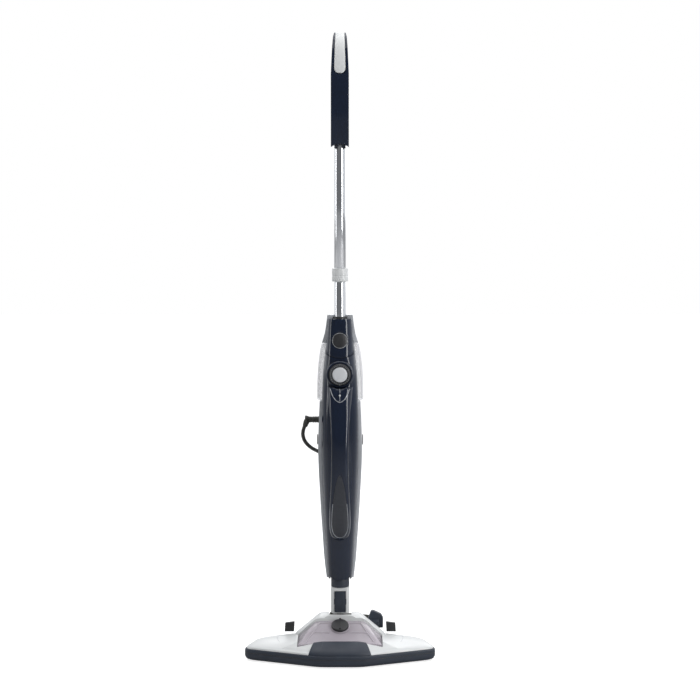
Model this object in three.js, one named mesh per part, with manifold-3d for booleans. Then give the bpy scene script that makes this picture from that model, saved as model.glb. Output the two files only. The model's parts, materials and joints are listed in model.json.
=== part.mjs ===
// A steam mop: floor head, swivelling neck, body with pump and boiler, two-piece pole and loop handle.
// Millimetres, +Z up, the front faces -Y, the origin is on the floor under the middle of the object.
import * as THREE from 'three';
import { mergeVertices } from 'three/addons/utils/BufferGeometryUtils.js';
import Module from 'manifold-3d';

const wasm = await Module();
wasm.setup();

// Driving dimensions
const GAP = 0.3;
const AXIS_Y = 15;
const PARTING_Y = 12;
const WALL = 2.5;
const FRONT_TOP = 629;
const SEAM_Z = 558;
const SEAM_RISE = 8;
const DIAL_Z = 529;
const BADGE_Z = 590;
const TUBE_R = 10.5;
const SOCKET_R = 13;
const COLLAR_R = 17.2;
const COLLAR_BOTTOM = 125;
const SPIGOT_R = 13.6;
const NECK_BOTTOM = 75.5;
const NECK_HALF = 17.5;
const SWIVEL_Z = 80;
const TILT_Z = 57;
const PIN_R = 3;
const JOINT_BOTTOM = 710;
const RING_BOTTOM = 698;
const RING_TOP = 722;
const HANDLE_BOTTOM = 944;
const HANDLE_TOP = 1157;
const HANDLE_HALF = 16.5;
const HANDLE_BACK = 94.8;
const TANK_BOTTOM = 476.5;
const TANK_TOP = 582.5;
const HEAD_FRONT = -95;
const HEAD_BACK = 65;
const HEAD_CORNER = 180;
const SKIRT_TOP = 22;
const SLEEVE_Z = 439;
const SLEEVE_Y = 27;
const CORD_R = 3.5;
const COIL_X = 8;
const COIL_Y = 144;
const COIL_INNER = 24.5;
const COIL_OUTER = 59.5;
const COIL_HEIGHT = 21;
const PLUG_X = 40;
const PLUG_Y = 109;

// Colours and finishes
const finish = (color, roughness, metalness = 0) =>
  new THREE.MeshStandardMaterial({ color, roughness, metalness });
const navyGloss = finish(0x1d2736, 0.15);
const navyMatte = finish(0x2b3340, 0.5);
const white = finish(0xf1f1ef, 0.35);
const silver = finish(0xb9bcc0, 0.35);
const charcoal = finish(0x2b2b2c, 0.55);
const rubber = finish(0x3a3a38, 0.7);
const chrome = finish(0xc9cbce, 0.12, 1);
const steel = finish(0xa7a9ab, 0.35, 1);
const brass = finish(0xb89b55, 0.4, 1);
const clear = finish(0xdfe2e6, 0.1);
const board = finish(0x24553a, 0.6);
const redSilicone = finish(0xa8452f, 0.7);

const model = new THREE.Group();

// Solids

function solid(geometry) {
  const bare = new THREE.BufferGeometry();
  bare.setAttribute('position', geometry.getAttribute('position'));
  bare.setIndex(geometry.index);
  const merged = mergeVertices(bare, 1e-4);
  const vertProperties = merged.attributes.position.array;
  const triVerts = new Uint32Array(merged.index.array);
  const made = new wasm.Manifold(new wasm.Mesh({ numProp: 3, vertProperties, triVerts }));
  if (made.volume() > 0) return made;
  for (let i = 0; i < triVerts.length; i += 3) {
    [triVerts[i + 1], triVerts[i + 2]] = [triVerts[i + 2], triVerts[i + 1]];
  }
  return new wasm.Manifold(new wasm.Mesh({ numProp: 3, vertProperties, triVerts }));
}

function geometryOf(made) {
  const mesh = made.getMesh();
  const geometry = new THREE.BufferGeometry();
  geometry.setAttribute('position', new THREE.Float32BufferAttribute(mesh.vertProperties, 3));
  geometry.setIndex(Array.from(mesh.triVerts));
  const flat = geometry.toNonIndexed();
  flat.computeVertexNormals();
  return flat;
}

function add(name, made, material, at = [0, 0, 0], turn = [0, 0, 0]) {
  const mesh = new THREE.Mesh(geometryOf(made), material);
  mesh.name = name;
  mesh.position.set(...at);
  mesh.rotation.set(...turn);
  model.add(mesh);
}

// A box between two opposite corners.
function block(x0, x1, y0, y1, z0, z1) {
  const box = new THREE.BoxGeometry(x1 - x0, y1 - y0, z1 - z0);
  box.translate((x0 + x1) / 2, (y0 + y1) / 2, (z0 + z1) / 2);
  return solid(box);
}

// A turned piece about local +Z, from [radius, height] pairs.
function turned(profile, segments = 32) {
  const points = profile.map(([r, h]) => new THREE.Vector2(r, h));
  const geometry = new THREE.LatheGeometry(points, segments);
  geometry.rotateX(Math.PI / 2);
  return solid(geometry);
}

const rod = (r, z0, z1, segments = 24) => turned([[0, z0], [r, z0], [r, z1], [0, z1]], segments);
const pipe = (r0, r1, z0, z1, segments = 32) =>
  turned([[r0, z0], [r1, z0], [r1, z1], [r0, z1], [r0, z0]], segments);

// The same solid with its local +Z turned to face another way, then moved.
function placed(made, turn, at) {
  const matrix = new THREE.Matrix4().compose(
    new THREE.Vector3(...at),
    new THREE.Quaternion().setFromEuler(new THREE.Euler(...turn)),
    new THREE.Vector3(1, 1, 1),
  );
  return solid(geometryOf(made).applyMatrix4(matrix));
}

const FRONTWARD = [Math.PI / 2, 0, 0];
const BACKWARD = [-Math.PI / 2, 0, 0];
const LEFTWARD = [0, -Math.PI / 2, 0];
const RIGHTWARD = [0, Math.PI / 2, 0];

// A closed skin over rings of equal point counts, with a fan at each end.
function loft(rings) {
  const count = rings[0].length;
  const positions = [];
  const index = [];
  rings.flat().forEach((p) => positions.push(p.x, p.y, p.z));
  const centre = (ring) => ring.reduce((s, p) => s.add(p), new THREE.Vector3()).divideScalar(count);
  const first = centre(rings[0]);
  const last = centre(rings.at(-1));
  positions.push(first.x, first.y, first.z, last.x, last.y, last.z);
  const bottom = rings.length * count;
  const top = bottom + 1;
  const end = (rings.length - 1) * count;
  for (let i = 0; i < count; i++) {
    const j = (i + 1) % count;
    for (let r = 0; r < end; r += count) {
      index.push(r + i, r + j, r + count + j, r + i, r + count + j, r + count + i);
    }
    index.push(bottom, j, i, top, end + i, end + j);
  }
  const geometry = new THREE.BufferGeometry();
  geometry.setAttribute('position', new THREE.Float32BufferAttribute(positions, 3));
  geometry.setIndex(index);
  return solid(geometry);
}

// An outline in the XZ plane carried along Y.
function slab(shape, y0, y1) {
  const geometry = new THREE.ExtrudeGeometry(shape, { depth: y1 - y0, bevelEnabled: false,
    curveSegments: 6 });
  geometry.rotateX(Math.PI / 2);
  geometry.translate(0, y1, 0);
  return solid(geometry);
}

// An outline in the YZ plane carried along X, as wide on both sides.
function rail(points, half) {
  const shape = new THREE.Shape(points);
  const geometry = new THREE.ExtrudeGeometry(shape, { depth: 2 * half, bevelEnabled: false });
  geometry.rotateX(Math.PI / 2);
  geometry.rotateZ(Math.PI / 2);
  geometry.translate(-half, 0, 0);
  return solid(geometry);
}

const polygon = (pairs) => new THREE.Shape(pairs.map(([x, z]) => new THREE.Vector2(x, z)));

// A round hose or cord along points.
function hose(points, radius, steps, sides = 10) {
  const path = new THREE.CatmullRomCurve3(points.map((p) => new THREE.Vector3(...p)));
  const section = new THREE.Shape();
  section.absarc(0, 0, radius, 0, 2 * Math.PI);
  const options = { steps, extrudePath: path, bevelEnabled: false, curveSegments: sides };
  return solid(new THREE.ExtrudeGeometry(section, options));
}

// A value between stations, smooth from one to the next; stations hold z and named widths.
function between(stations, key, z) {
  const last = stations.length - 1;
  let i = stations.findIndex((s) => s.z > z) - 1;
  if (i < 0) i = z < stations[0].z ? 0 : last - 1;
  const [a, b] = [stations[i], stations[i + 1]];
  const before = stations[Math.max(i - 1, 0)];
  const after = stations[Math.min(i + 2, last)];
  const span = b.z - a.z;
  const t = THREE.MathUtils.clamp((z - a.z) / span, 0, 1);
  const m0 = ((b[key] - before[key]) / (b.z - before.z)) * span;
  const m1 = ((after[key] - a[key]) / (after.z - a.z)) * span;
  const t2 = t * t;
  const t3 = t2 * t;
  return (2 * t3 - 3 * t2 + 1) * a[key] + (t3 - 2 * t2 + t) * m0
    + (3 * t2 - 2 * t3) * b[key] + (t3 - t2) * m1;
}

// An oval of rising squareness in a level plane, with its own reach to the front and to the back.
function oval(z, y, half, front, back, square, count) {
  const ring = [];
  const bend = (v) => Math.sign(v) * Math.abs(v) ** (2 / square);
  for (let i = 0; i < count; i++) {
    const a = (2 * Math.PI * i) / count;
    const reach = Math.sin(a) < 0 ? y - front : back - y;
    ring.push(new THREE.Vector3(half * bend(Math.cos(a)), y + reach * bend(Math.sin(a)), z));
  }
  return ring;
}

// The body's outline: half-widths of its rear and front shells, and its reach to front and back.
const bodyStations = [
  { z: 142, rear: 25.5, front: 22, near: -8, far: 40 },
  { z: 180, rear: 29.8, front: 24.6, near: -14, far: 46 },
  { z: 219, rear: 32.5, front: 27.2, near: -19, far: 52 },
  { z: 288, rear: 37, front: 31.2, near: -25, far: 62 },
  { z: 379, rear: 41, front: 34.4, near: -28, far: 70 },
  { z: 440, rear: 39.6, front: 34.4, near: -28, far: 71 },
  { z: 476, rear: 38, front: 33.4, near: -27, far: 69 },
  { z: 529, rear: 37, front: 31, near: -25, far: 66 },
  { z: 562, rear: 35.5, front: 27.6, near: -20, far: 62 },
  { z: 584, rear: 33.5, front: 25.6, near: -16, far: 58 },
  { z: 604, rear: 28, front: 24, near: -13, far: 50 },
  { z: 636, rear: 23.5, front: 21.2, near: -8, far: 40 },
];
const BODY_LEVELS = [142, 180, 219, 255, 288, 335, 379, 440, 476, 529, 562, 584, 604, 636];
const BODY_SQUARE = 2.5;
const BODY_SIDES = 24;

// The body's outer form, grown or shrunk; which names the shell whose half-width it takes.
function bodyForm(which, shrink, levels = BODY_LEVELS) {
  return loft(levels.map((z) => oval(
    z, PARTING_Y, between(bodyStations, which, z) - shrink,
    between(bodyStations, 'near', z) + shrink, between(bodyStations, 'far', z) - shrink,
    BODY_SQUARE, BODY_SIDES,
  )));
}

const INSIDE_LEVELS = [145.5, 219, 288, 379, 476, 529, 562, 604, 625];
const inside = bodyForm('front', WALL, INSIDE_LEVELS);
const ahead = block(-90, 90, -200, PARTING_Y - GAP / 2, 0, 1300);
const behind = block(-90, 90, PARTING_Y + GAP / 2, 200, 0, 1300);
const onAxis = (made) => placed(made, [0, 0, 0], [0, AXIS_Y, 0]);
const socketHole = onAxis(rod(SOCKET_R + GAP, 600, 700));
const nozzleHole = onAxis(rod(17, 100, 150));

// The seam between the body and its neck cover dips in the middle.
function aboveSeam(lift) {
  const reach = 45;
  const shape = new THREE.Shape();
  const edge = SEAM_Z + SEAM_RISE * 2.6 + lift;
  shape.moveTo(-reach, edge);
  shape.quadraticCurveTo(0, 2 * (SEAM_Z + lift) - edge, reach, edge);
  shape.lineTo(reach, 700);
  shape.lineTo(-reach, 700);
  return slab(shape, -60, 60);
}

const dialHole = placed(rod(25.3, -5, 60, 40), FRONTWARD, [0, 0, DIAL_Z]);

function makeFrontShells() {
  const skin = bodyForm('front', 0).intersect(ahead).subtract(inside);
  const body = skin.subtract(aboveSeam(-GAP / 2)).subtract(dialHole).subtract(nozzleHole);
  add('front_shell', body, navyGloss);
  const badgeHole = placed(rod(14.9, 0, 60, 32), FRONTWARD, [0, 0, BADGE_Z]);
  const underRim = block(-90, 90, -90, 90, 500, FRONT_TOP);
  const cover = skin.intersect(aboveSeam(GAP / 2)).intersect(underRim).subtract(badgeHole);
  add('neck_cover', cover.subtract(socketHole), navyGloss);
  const plug = placed(rod(14.6, 0, 60, 32), FRONTWARD, [0, 0, BADGE_Z]);
  const sheet = bodyForm('front', -0.5).subtract(bodyForm('front', 2));
  add('badge', plug.intersect(sheet).intersect(ahead), charcoal);
}

// The rear shell has a bay for the water tank; the bay's core carries on the line of the front shell.
const BAY_BOTTOM = TANK_BOTTOM - 1.5;
const BAY_TOP = TANK_TOP + 1.5;
const BAY_BACK = 31;
const PORT_Z = 486;

function bay(grow) {
  const room = block(-90, 90, 0, 200, BAY_BOTTOM - grow, BAY_TOP + grow);
  const core = bodyForm('front', grow - 0.5).intersect(block(-90, 90, -90, BAY_BACK - grow, 0, 700));
  return room.subtract(core);
}

// The screws sit in counterbores of the rear shell.
const screwHeights = [180, 300, 440];
const screwSeat = (z) => between(bodyStations, 'far', z) - 1.6;

function makeRearShell() {
  const skin = bodyForm('rear', 0).intersect(behind).subtract(bay(0));
  const hollow = inside.subtract(bay(WALL));
  const sleeveHole = placed(rod(6.4, 20, 60), LEFTWARD, [0, SLEEVE_Y, SLEEVE_Z]);
  const port = placed(rod(5.3, 15, 35), BACKWARD, [0, 0, PORT_Z]);
  const lockHole = placed(rod(6.4, 20, 70), BACKWARD, [0, 0, 612]);
  let shell = skin.subtract(hollow).subtract(socketHole).subtract(nozzleHole);
  shell = shell.subtract(sleeveHole).subtract(port).subtract(lockHole);
  screwHeights.forEach((z) => {
    shell = shell.subtract(placed(rod(3.5, 0, 30, 12), BACKWARD, [0, screwSeat(z), z]));
    shell = shell.subtract(placed(rod(1.8, -20, 5, 12), BACKWARD, [0, screwSeat(z), z]));
  });
  add('rear_shell', shell, silver);
}

// The carry handle bows forward from the body; offsets move its front, back and side faces.
const barStations = [
  { z: 219, half: 2, front: -21, back: -8 },
  { z: 222, half: 11, front: -25, back: -9 },
  { z: 231, half: 17, front: -34, back: -12 },
  { z: 250, half: 19.6, front: -48, back: -16 },
  { z: 272, half: 19.4, front: -58, back: -28 },
  { z: 292, half: 18.4, front: -64, back: -45 },
  { z: 325, half: 16.6, front: -68.5, back: -52 },
  { z: 365, half: 15.6, front: -70, back: -54 },
  { z: 405, half: 15.5, front: -69, back: -53 },
  { z: 440, half: 17, front: -65, back: -48 },
  { z: 465, half: 19.2, front: -59, back: -36 },
  { z: 482, half: 21.4, front: -53, back: -18 },
  { z: 506, half: 23.5, front: -42, back: -10 },
];
const BAR_LEVELS = [219, 222, 231, 250, 272, 292, 325, 365, 405, 440, 465, 482, 506];

function barForm({ side = 0, front = 0, back = 0 }) {
  return loft(BAR_LEVELS.map((z) => {
    const near = between(barStations, 'front', z) + front;
    const far = between(barStations, 'back', z) + back;
    const half = between(barStations, 'half', z) + side;
    return oval(z, (near + far) / 2, half, near, far, 2.8, 16);
  }));
}

// The soft insert in the handle's lower half is drop-shaped, round at the bottom.
function dropShape(grow) {
  const shape = new THREE.Shape();
  shape.moveTo(0, 350 + grow);
  shape.bezierCurveTo(8 + grow, 345, 14.4 + grow, 290, 14.4 + grow, 254);
  shape.bezierCurveTo(14.4 + grow, 236, 8, 227 - grow, 0, 227 - grow);
  shape.bezierCurveTo(-8, 227 - grow, -14.4 - grow, 236, -14.4 - grow, 254);
  shape.bezierCurveTo(-14.4 - grow, 290, -8 - grow, 345, 0, 350 + grow);
  return slab(shape, -110, -26);
}

// The indicator shield under the dial is a blunt V.
function shieldShape(grow) {
  const shape = new THREE.Shape();
  shape.moveTo(-18 - grow, 512);
  shape.bezierCurveTo(-16 - grow, 492, -7, 482 - grow, 0, 481.5 - grow);
  shape.bezierCurveTo(7, 482 - grow, 16 + grow, 492, 18 + grow, 512);
  return slab(shape, -110, -26);
}

const LENS_Z = 493;
const lensHole = placed(rod(1.9, 30, 80, 16), FRONTWARD, [0, 0, LENS_Z]);

function makeCarryHandle() {
  const nearDial = placed(rod(25.6, -20, 80, 40), FRONTWARD, [0, 0, DIAL_Z]);
  const bodyClearance = bodyForm('front', -GAP);
  const bar = barForm({}).subtract(bodyClearance).subtract(nearDial);
  const pocketFloor = barForm({ side: 12, front: 2.6, back: 40 });
  const inlayFloor = barForm({ side: 12, front: 2.6 - GAP, back: 40 });
  const inlayFace = barForm({ front: -0.4 });
  let handle = bar.subtract(dropShape(GAP).subtract(pocketFloor));
  handle = handle.subtract(shieldShape(GAP).subtract(pocketFloor)).subtract(lensHole);
  add('carry_handle', handle, navyGloss);
  add('grip_insert', dropShape(0).intersect(inlayFace).subtract(inlayFloor), charcoal);
  const shield = shieldShape(0).intersect(inlayFace).subtract(inlayFloor);
  add('indicator_shield', shield.subtract(nearDial).subtract(lensHole), navyGloss);
  const lens = placed(rod(1.6, 45.5, 50.4, 16), FRONTWARD, [0, 0, LENS_Z]);
  add('indicator_lens', lens, white);
}

// The steam dial, its fixed bezel and the push button in its middle all face the front.
function makeDial() {
  const centre = [0, 0, DIAL_Z];
  const bezel = [[20.4, 8], [25, 8], [25, 30], [23.6, 33], [21.4, 33.6], [20.4, 32.4], [20.4, 8]];
  add('dial_bezel', turned(bezel, 40), navyGloss, centre, FRONTWARD);
  const dial = [[14.2, 12], [20, 12], [20, 35], [18.6, 37.4], [15.6, 37.8], [14.2, 36.6], [14.2, 12]];
  add('steam_dial', turned(dial, 40), charcoal, centre, FRONTWARD);
  const button = [[0, 17], [13.8, 17], [13.8, 37.6], [12.2, 39.6], [0, 40.2]];
  add('steam_button', turned(button, 40), silver, centre, FRONTWARD);
}

function makeInnards() {
  add('micro_switch', block(-6, 6, -12.5, -1, 523, 535), charcoal);
  add('circuit_board', block(-21, 21, 4, 5.6, 452, 520), board);
  const pumpBody = block(-16, 16, 12, 44, 378, 420).add(placed(rod(5, 370, 428, 16), [0, 0, 0],
    [0, 28, 0]));
  add('pump', pumpBody, charcoal);
  const boiler = [[0, 212], [4, 212], [4, 222], [14, 224], [17.5, 230], [17.5, 312], [14, 318], [4, 320],
    [4, 330], [0, 330]];
  add('boiler', placed(turned(boiler, 28), [0, 0, 0], [0, 29, 0]), steel);
  add('thermostat', rod(8, -8, 0, 20), brass, [0, 11.2, 270], BACKWARD);
  add('supply_hose', hose([[0, 22, PORT_Z], [0, 20, 472], [0, 23, 452], [0, 28, 438], [0, 28, 428.8]],
    3, 9, 4), clear);
  add('pump_hose', hose([[0, 28, 369], [1, 28, 360], [1, 29, 342], [0, 29, 331]], 3, 6, 4), clear);
  add('steam_tube', hose([[0, 29, 211], [0, 27, 200], [0, 18, 184], [0, 15, 168], [0, 15, 158]],
    3, 8, 4), redSilicone);
}

// The neck's spigot and its seal enter the nozzle collar from below.
function makeNozzle() {
  const collar = [[14, COLLAR_BOTTOM], [COLLAR_R - 0.8, COLLAR_BOTTOM], [COLLAR_R, 126], [COLLAR_R, 141.7],
    [16.7, 141.7], [16.7, 164], [14, 164], [14, COLLAR_BOTTOM]];
  const made = placed(turned(collar, 36), [0, 0, 0], [0, AXIS_Y, 0]);
  add('nozzle_collar', made, navyMatte);
  const socket = pipe(TUBE_R + GAP, SOCKET_R, 552, 633, 28);
  add('pole_socket', onAxis(socket), charcoal);
}

function makeStrainRelief() {
  const sleeve = [[0, 26.2], [8.8, 26.2], [8.8, 28.4], [6.1, 28.4], [6.1, 44], [5.4, 57], [6.6, 60.5],
    [7.4, 62], [7.4, 66],
    [0, 66]];
  const made = placed(turned(sleeve, 20), LEFTWARD, [0, SLEEVE_Y, SLEEVE_Z]);
  add('strain_relief', made, rubber);
}

// Small pieces on the outside of the rear shell.
function makeRearFittings() {
  const tab = (side) => block(Math.min(side * 41.4, side * 43), Math.max(side * 41.4, side * 43), 18, 30,
    393, 411);
  add('shell_clip_left', tab(-1), charcoal);
  add('shell_clip_right', tab(1), charcoal);
  const hook = polygon([[71.4, 414], [77, 412], [77, 402], [86, 402], [86, 388], [92, 388], [93, 409],
    [89, 413], [77, 416],
    [71.4, 417]]);
  add('lower_cord_hook', rail(hook.getPoints(), 13), charcoal);
  add('pole_lock_button', rod(6, 32.5, 53, 20), charcoal, [0, 0, 612], BACKWARD);
  const screw = [[0, -9], [1.5, -9], [1.5, 0], [3, 0], [3, 2], [0, 2.4]];
  screwHeights.forEach((z, i) => {
    add(`shell_screw_${i + 1}`, turned(screw, 12), steel, [0, screwSeat(z) + GAP, z], BACKWARD);
  });
}

// The water tank wraps the bay's core on three sides.
const tankStations = [
  { z: 476.5, half: 43.2, far: 73 },
  { z: 484, half: 43.4, far: 75 },
  { z: 529, half: 42, far: 76 },
  { z: 562, half: 38.6, far: 74.5 },
  { z: 576, half: 36, far: 72 },
  { z: 582.5, half: 34, far: 68 },
];
const TANK_LEVELS = [476.5, 484, 529, 562, 576, 582.5];
const CAP_Z = 545;

function tankForm(shrink) {
  const levels = TANK_LEVELS.map((z) => THREE.MathUtils.clamp(z, TANK_BOTTOM + shrink, TANK_TOP - shrink));
  return loft([...new Set(levels)].map((z) => {
    const half = between(tankStations, 'half', z) - shrink;
    const far = between(tankStations, 'far', z) - shrink;
    return oval(z, 47, half, 18 + shrink, far, 4.5, 28);
  }));
}

function makeWaterTank() {
  const core = (grow) => bodyForm('front', -1.2 - grow).intersect(block(-90, 90, -90,
    BAY_BACK + 1 + grow, 0, 700));
  const hollow = tankForm(2.2).subtract(core(2.2));
  const mouth = placed(rod(9, 66, 90, 24), BACKWARD, [0, 0, CAP_Z]);
  const outlet = placed(rod(5, 20, 40, 16), BACKWARD, [0, 0, PORT_Z]);
  const tank = tankForm(0).subtract(core(0)).subtract(hollow).subtract(mouth).subtract(outlet);
  add('water_tank', tank, clear);
  const back = tankStations[2].far + GAP;
  const cap = [[0, -6], [8.5, -6], [8.5, 0], [13, 0], [13, 3.4], [11.6, 4.6], [0, 4.6]];
  const ridge = block(-11, 11, -1.6, 1.6, 3.6, 7);
  add('tank_cap', turned(cap, 28).add(ridge), charcoal, [0, back, CAP_Z], BACKWARD);
  const wallIn = BAY_BACK + 1 + 2.2 + GAP;
  const valve = [[0, wallIn - 9], [4.6, wallIn - 9], [4.6, wallIn], [7, wallIn], [7, wallIn + 2],
    [0, wallIn + 2]];
  add('tank_valve', turned(valve, 16), charcoal, [0, 0, PORT_Z], BACKWARD);
}

// Two tubes meet inside a collar; the upper cord hook turns on the collar's back.
function makePole() {
  add('lower_tube', pipe(TUBE_R - 1.2, TUBE_R, 556, JOINT_BOTTOM - GAP / 2, 28), chrome, [0, AXIS_Y, 0]);
  add('upper_tube', pipe(TUBE_R - 1.2, TUBE_R, JOINT_BOTTOM + GAP / 2, 984, 28), chrome, [0, AXIS_Y, 0]);
  const ring = [[TUBE_R + GAP, RING_BOTTOM], [14, RING_BOTTOM], [14.75, RING_BOTTOM + 1],
    [14.75, RING_TOP - 1],
    [14, RING_TOP], [TUBE_R + GAP, RING_TOP], [TUBE_R + GAP, RING_BOTTOM]];
  add('pole_collar', turned(ring, 32), white, [0, AXIS_Y, 0]);
  const hook = polygon([[30.2, 704], [30.2, 714], [46, 714], [47, 728], [52, 728], [52.5, 706],
    [49, 703.5]]);
  add('upper_cord_hook', rail(hook.getPoints(), 9), charcoal);
}

// The handle is a loop seen from the side; the hand goes through it.
const loopOuter = [[-1.5, 944], [-1.8, 1000], [-1.5, 1066], [1, 1100], [8, 1127], [20, 1146], [38, 1156],
  [54, 1157],
  [72, 1149], [86, 1130], [93.5, 1106], [HANDLE_BACK, 1080], [90, 1048], [78, 1018], [60, 994],
  [42, 976], [33, 960],
  [31.5, 944]];
const loopInner = [[35, 1080], [38, 1104], [46, 1121], [56, 1124], [65, 1114], [69.5, 1094],
  [69.5, 1072], [63, 1044],
  [50, 1020], [39, 1006], [35, 1012], [34, 1046]];

const smooth = (pairs, closed) =>
  new THREE.SplineCurve([...pairs, ...(closed ? [pairs[0]] : [])].map(([a, b]) => new THREE.Vector2(a, b)));

// Points moved along their normals into the outline, which runs clockwise in Y and Z.
function inset(points, distance) {
  return points.map((p, i) => {
    const before = points[(i + points.length - 1) % points.length];
    const after = points[(i + 1) % points.length];
    const along = after.clone().sub(before).normalize();
    return new THREE.Vector2(p.x + along.y * distance, p.y - along.x * distance);
  });
}

function makeHandle() {
  const outer = smooth(loopOuter, false).getPoints(44);
  const inner = smooth(loopInner, true).getPoints(32).slice(0, -1);
  const front = polygon([[-HANDLE_HALF, HANDLE_BOTTOM], [-HANDLE_HALF, 1074], [-15.4, 1100],
    [-14.2, 1125], [-12.6, 1146],
    [-9, HANDLE_TOP + 1], [9, HANDLE_TOP + 1], [12.6, 1146], [14.2, 1125], [15.4, 1100],
    [HANDLE_HALF, 1074],
    [HANDLE_HALF, HANDLE_BOTTOM]]);
  const silhouette = slab(front, -40, 140);
  const bore = onAxis(rod(TUBE_R + GAP, 900, 985, 28));
  const loop = rail(outer, 30).intersect(silhouette).subtract(rail(inner, 40)).subtract(bore);
  const strip = (grow) => {
    const trim = polygon([[-10.2 - grow, 1086], [-6, 1077 - grow], [6, 1077 - grow], [10.2 + grow, 1086],
      [9.6 + grow, 1110],
      [7.6 + grow, 1165], [-7.6 - grow, 1165], [-9.6 - grow, 1110]]);
    return slab(trim, -40, 62 + grow);
  };
  const floor = rail(inset(outer, 3.4), 40);
  const pocket = strip(GAP).subtract(floor);
  const screwHole = placed(rod(3.5, 0, 30, 12), BACKWARD, [0, 28, 958]);
  const parted = 13;
  const frontHalf = block(-60, 60, -60, parted - GAP / 2, 900, 1200);
  const rearHalf = block(-60, 60, parted + GAP / 2, 160, 900, 1200);
  add('handle_front', loop.intersect(frontHalf).subtract(pocket), navyGloss);
  add('handle_rear', loop.intersect(rearHalf).subtract(pocket).subtract(screwHole), navyGloss);
  const inlay = strip(0).subtract(rail(inset(outer, 3.4 - GAP), 40)).intersect(rail(outer, 30));
  add('handle_insert', inlay.intersect(silhouette), white);
  add('handle_screw', rod(3.1, 0, 3.4, 12), steel, [0, 28.4, 958], BACKWARD);
}

// The neck hangs on the collar by its spigot and holds the swivel pin near its foot.
function makeNeck() {
  const levels = [NECK_BOTTOM, 78, 122.5, COLLAR_BOTTOM - GAP];
  const sides = [NECK_HALF - 1, NECK_HALF, NECK_HALF, NECK_HALF - 0.8];
  const column = loft(levels.map((z, i) => oval(z, AXIS_Y, sides[i],
    AXIS_Y - sides[i] + 2.5, AXIS_Y + sides[i] - 2.5,
    5, 32)));
  const spigot = onAxis(rod(SPIGOT_R, 120, 147, 28).add(rod(SPIGOT_R - 2, 146, 155, 28)));
  const bore = onAxis(rod(5, 110, 160, 16));
  const lugRoom = block(-11, 11, 8.5, 21.5, 70, 92);
  const latchRoom = block(-10.9, 10.9, -10, 6, 77.6, 118.4);
  const pinHole = placed(rod(PIN_R + GAP, -40, 40, 16), FRONTWARD, [0, 0, SWIVEL_Z]);
  const earRoom = block(-11.6, 11.6, -10, 6, 92, 104);
  const neck = column.add(spigot).subtract(bore).subtract(lugRoom).subtract(latchRoom).subtract(earRoom);
  add('neck_housing', neck.subtract(pinHole), white);
  add('neck_seal', pipe(SPIGOT_R - 1.7, 13.8, 148.5, 151.5, 28), redSilicone, [0, AXIS_Y, 0]);
  add('swivel_pin', rod(PIN_R, -27, -6.5, 16), steel, [0, 0, SWIVEL_Z], FRONTWARD);
  const latch = block(-10.5, 10.5, -0.8, 3.2, 78, 118).add(block(-11.2, 11.2, -0.4, 1.4, 93, 103));
  add('latch_button', latch, navyMatte);
}

function makeSwivel() {
  const barrel = placed(rod(8, -20, 20, 24), RIGHTWARD, [0, AXIS_Y, TILT_Z]);
  const lug = block(-6.5, 6.5, 10, 20, TILT_Z, SWIVEL_Z).add(placed(rod(6.5, -20, -10, 24), FRONTWARD,
    [0, 0, SWIVEL_Z]));
  const swivelBore = placed(rod(PIN_R + GAP, -40, 40, 16), FRONTWARD, [0, 0, SWIVEL_Z]);
  const tiltBore = placed(rod(PIN_R + GAP, -40, 40, 16), RIGHTWARD, [0, AXIS_Y, TILT_Z]);
  add('swivel_block', barrel.add(lug).subtract(swivelBore).subtract(tiltBore), charcoal);
  add('tilt_pin', placed(rod(PIN_R, -30, 30, 16), RIGHTWARD, [0, AXIS_Y, TILT_Z]), steel);
}

// The head's outline from above, as corners that are then rounded.
const headCorners = [[40, HEAD_FRONT], [HEAD_CORNER, -46], [157, 16], [46, HEAD_BACK], [-46, HEAD_BACK],
  [-157, 16],
  [-HEAD_CORNER, -46], [-40, HEAD_FRONT]].map(([x, y]) => new THREE.Vector2(x, y));

function insetCorners(distance) {
  return headCorners.map((p, i) => {
    const n = headCorners.length;
    const a = p.clone().sub(headCorners[(i + n - 1) % n]).normalize();
    const b = headCorners[(i + 1) % n].clone().sub(p).normalize();
    const inA = new THREE.Vector2(-a.y, a.x);
    const inB = new THREE.Vector2(-b.y, b.x);
    const middle = inA.clone().add(inB).normalize();
    return p.clone().addScaledVector(middle, distance / middle.dot(inA));
  });
}

// The head's outline at a height, shrunk evenly, its corners rounded by short curves.
function headRing(z, distance, rounding) {
  const corners = insetCorners(distance);
  const n = corners.length;
  return corners.flatMap((p, i) => {
    const before = corners[(i + n - 1) % n];
    const after = corners[(i + 1) % n];
    const radius = (q) => Math.min(rounding, p.distanceTo(q) * 0.45);
    const start = p.clone().lerp(before, radius(before) / p.distanceTo(before));
    const end = p.clone().lerp(after, radius(after) / p.distanceTo(after));
    const curve = new THREE.QuadraticBezierCurve(start, p, end);
    return curve.getPoints(3).map((q) => new THREE.Vector3(q.x, q.y, z));
  });
}

// The raised middle of the head: a row of trapezoids along Y.
function ridge(sections, base) {
  return loft(sections.map(({ y, foot, crest, top }) => {
    const low = base + (top - base) * 0.15;
    const high = top - Math.min(4, (top - base) * 0.4);
    const edge = [[foot, base], [foot, low], [crest + 3, high], [crest - 2, top - 0.8], [crest - 9, top]];
    const mirrored = edge.map(([x, z]) => [-x, z]).reverse();
    return [...edge, ...mirrored].map(([x, z]) => new THREE.Vector3(x, y, z));
  }));
}

const humpSections = [
  { y: -8, foot: 86, crest: 46, top: 69 },
  { y: 4, foot: 86, crest: 42, top: 72 },
  { y: 26, foot: 84, crest: 39, top: 72 },
  { y: 42, foot: 78, crest: 37, top: 62 },
  { y: 60, foot: 62, crest: 36, top: 36 },
];

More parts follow.
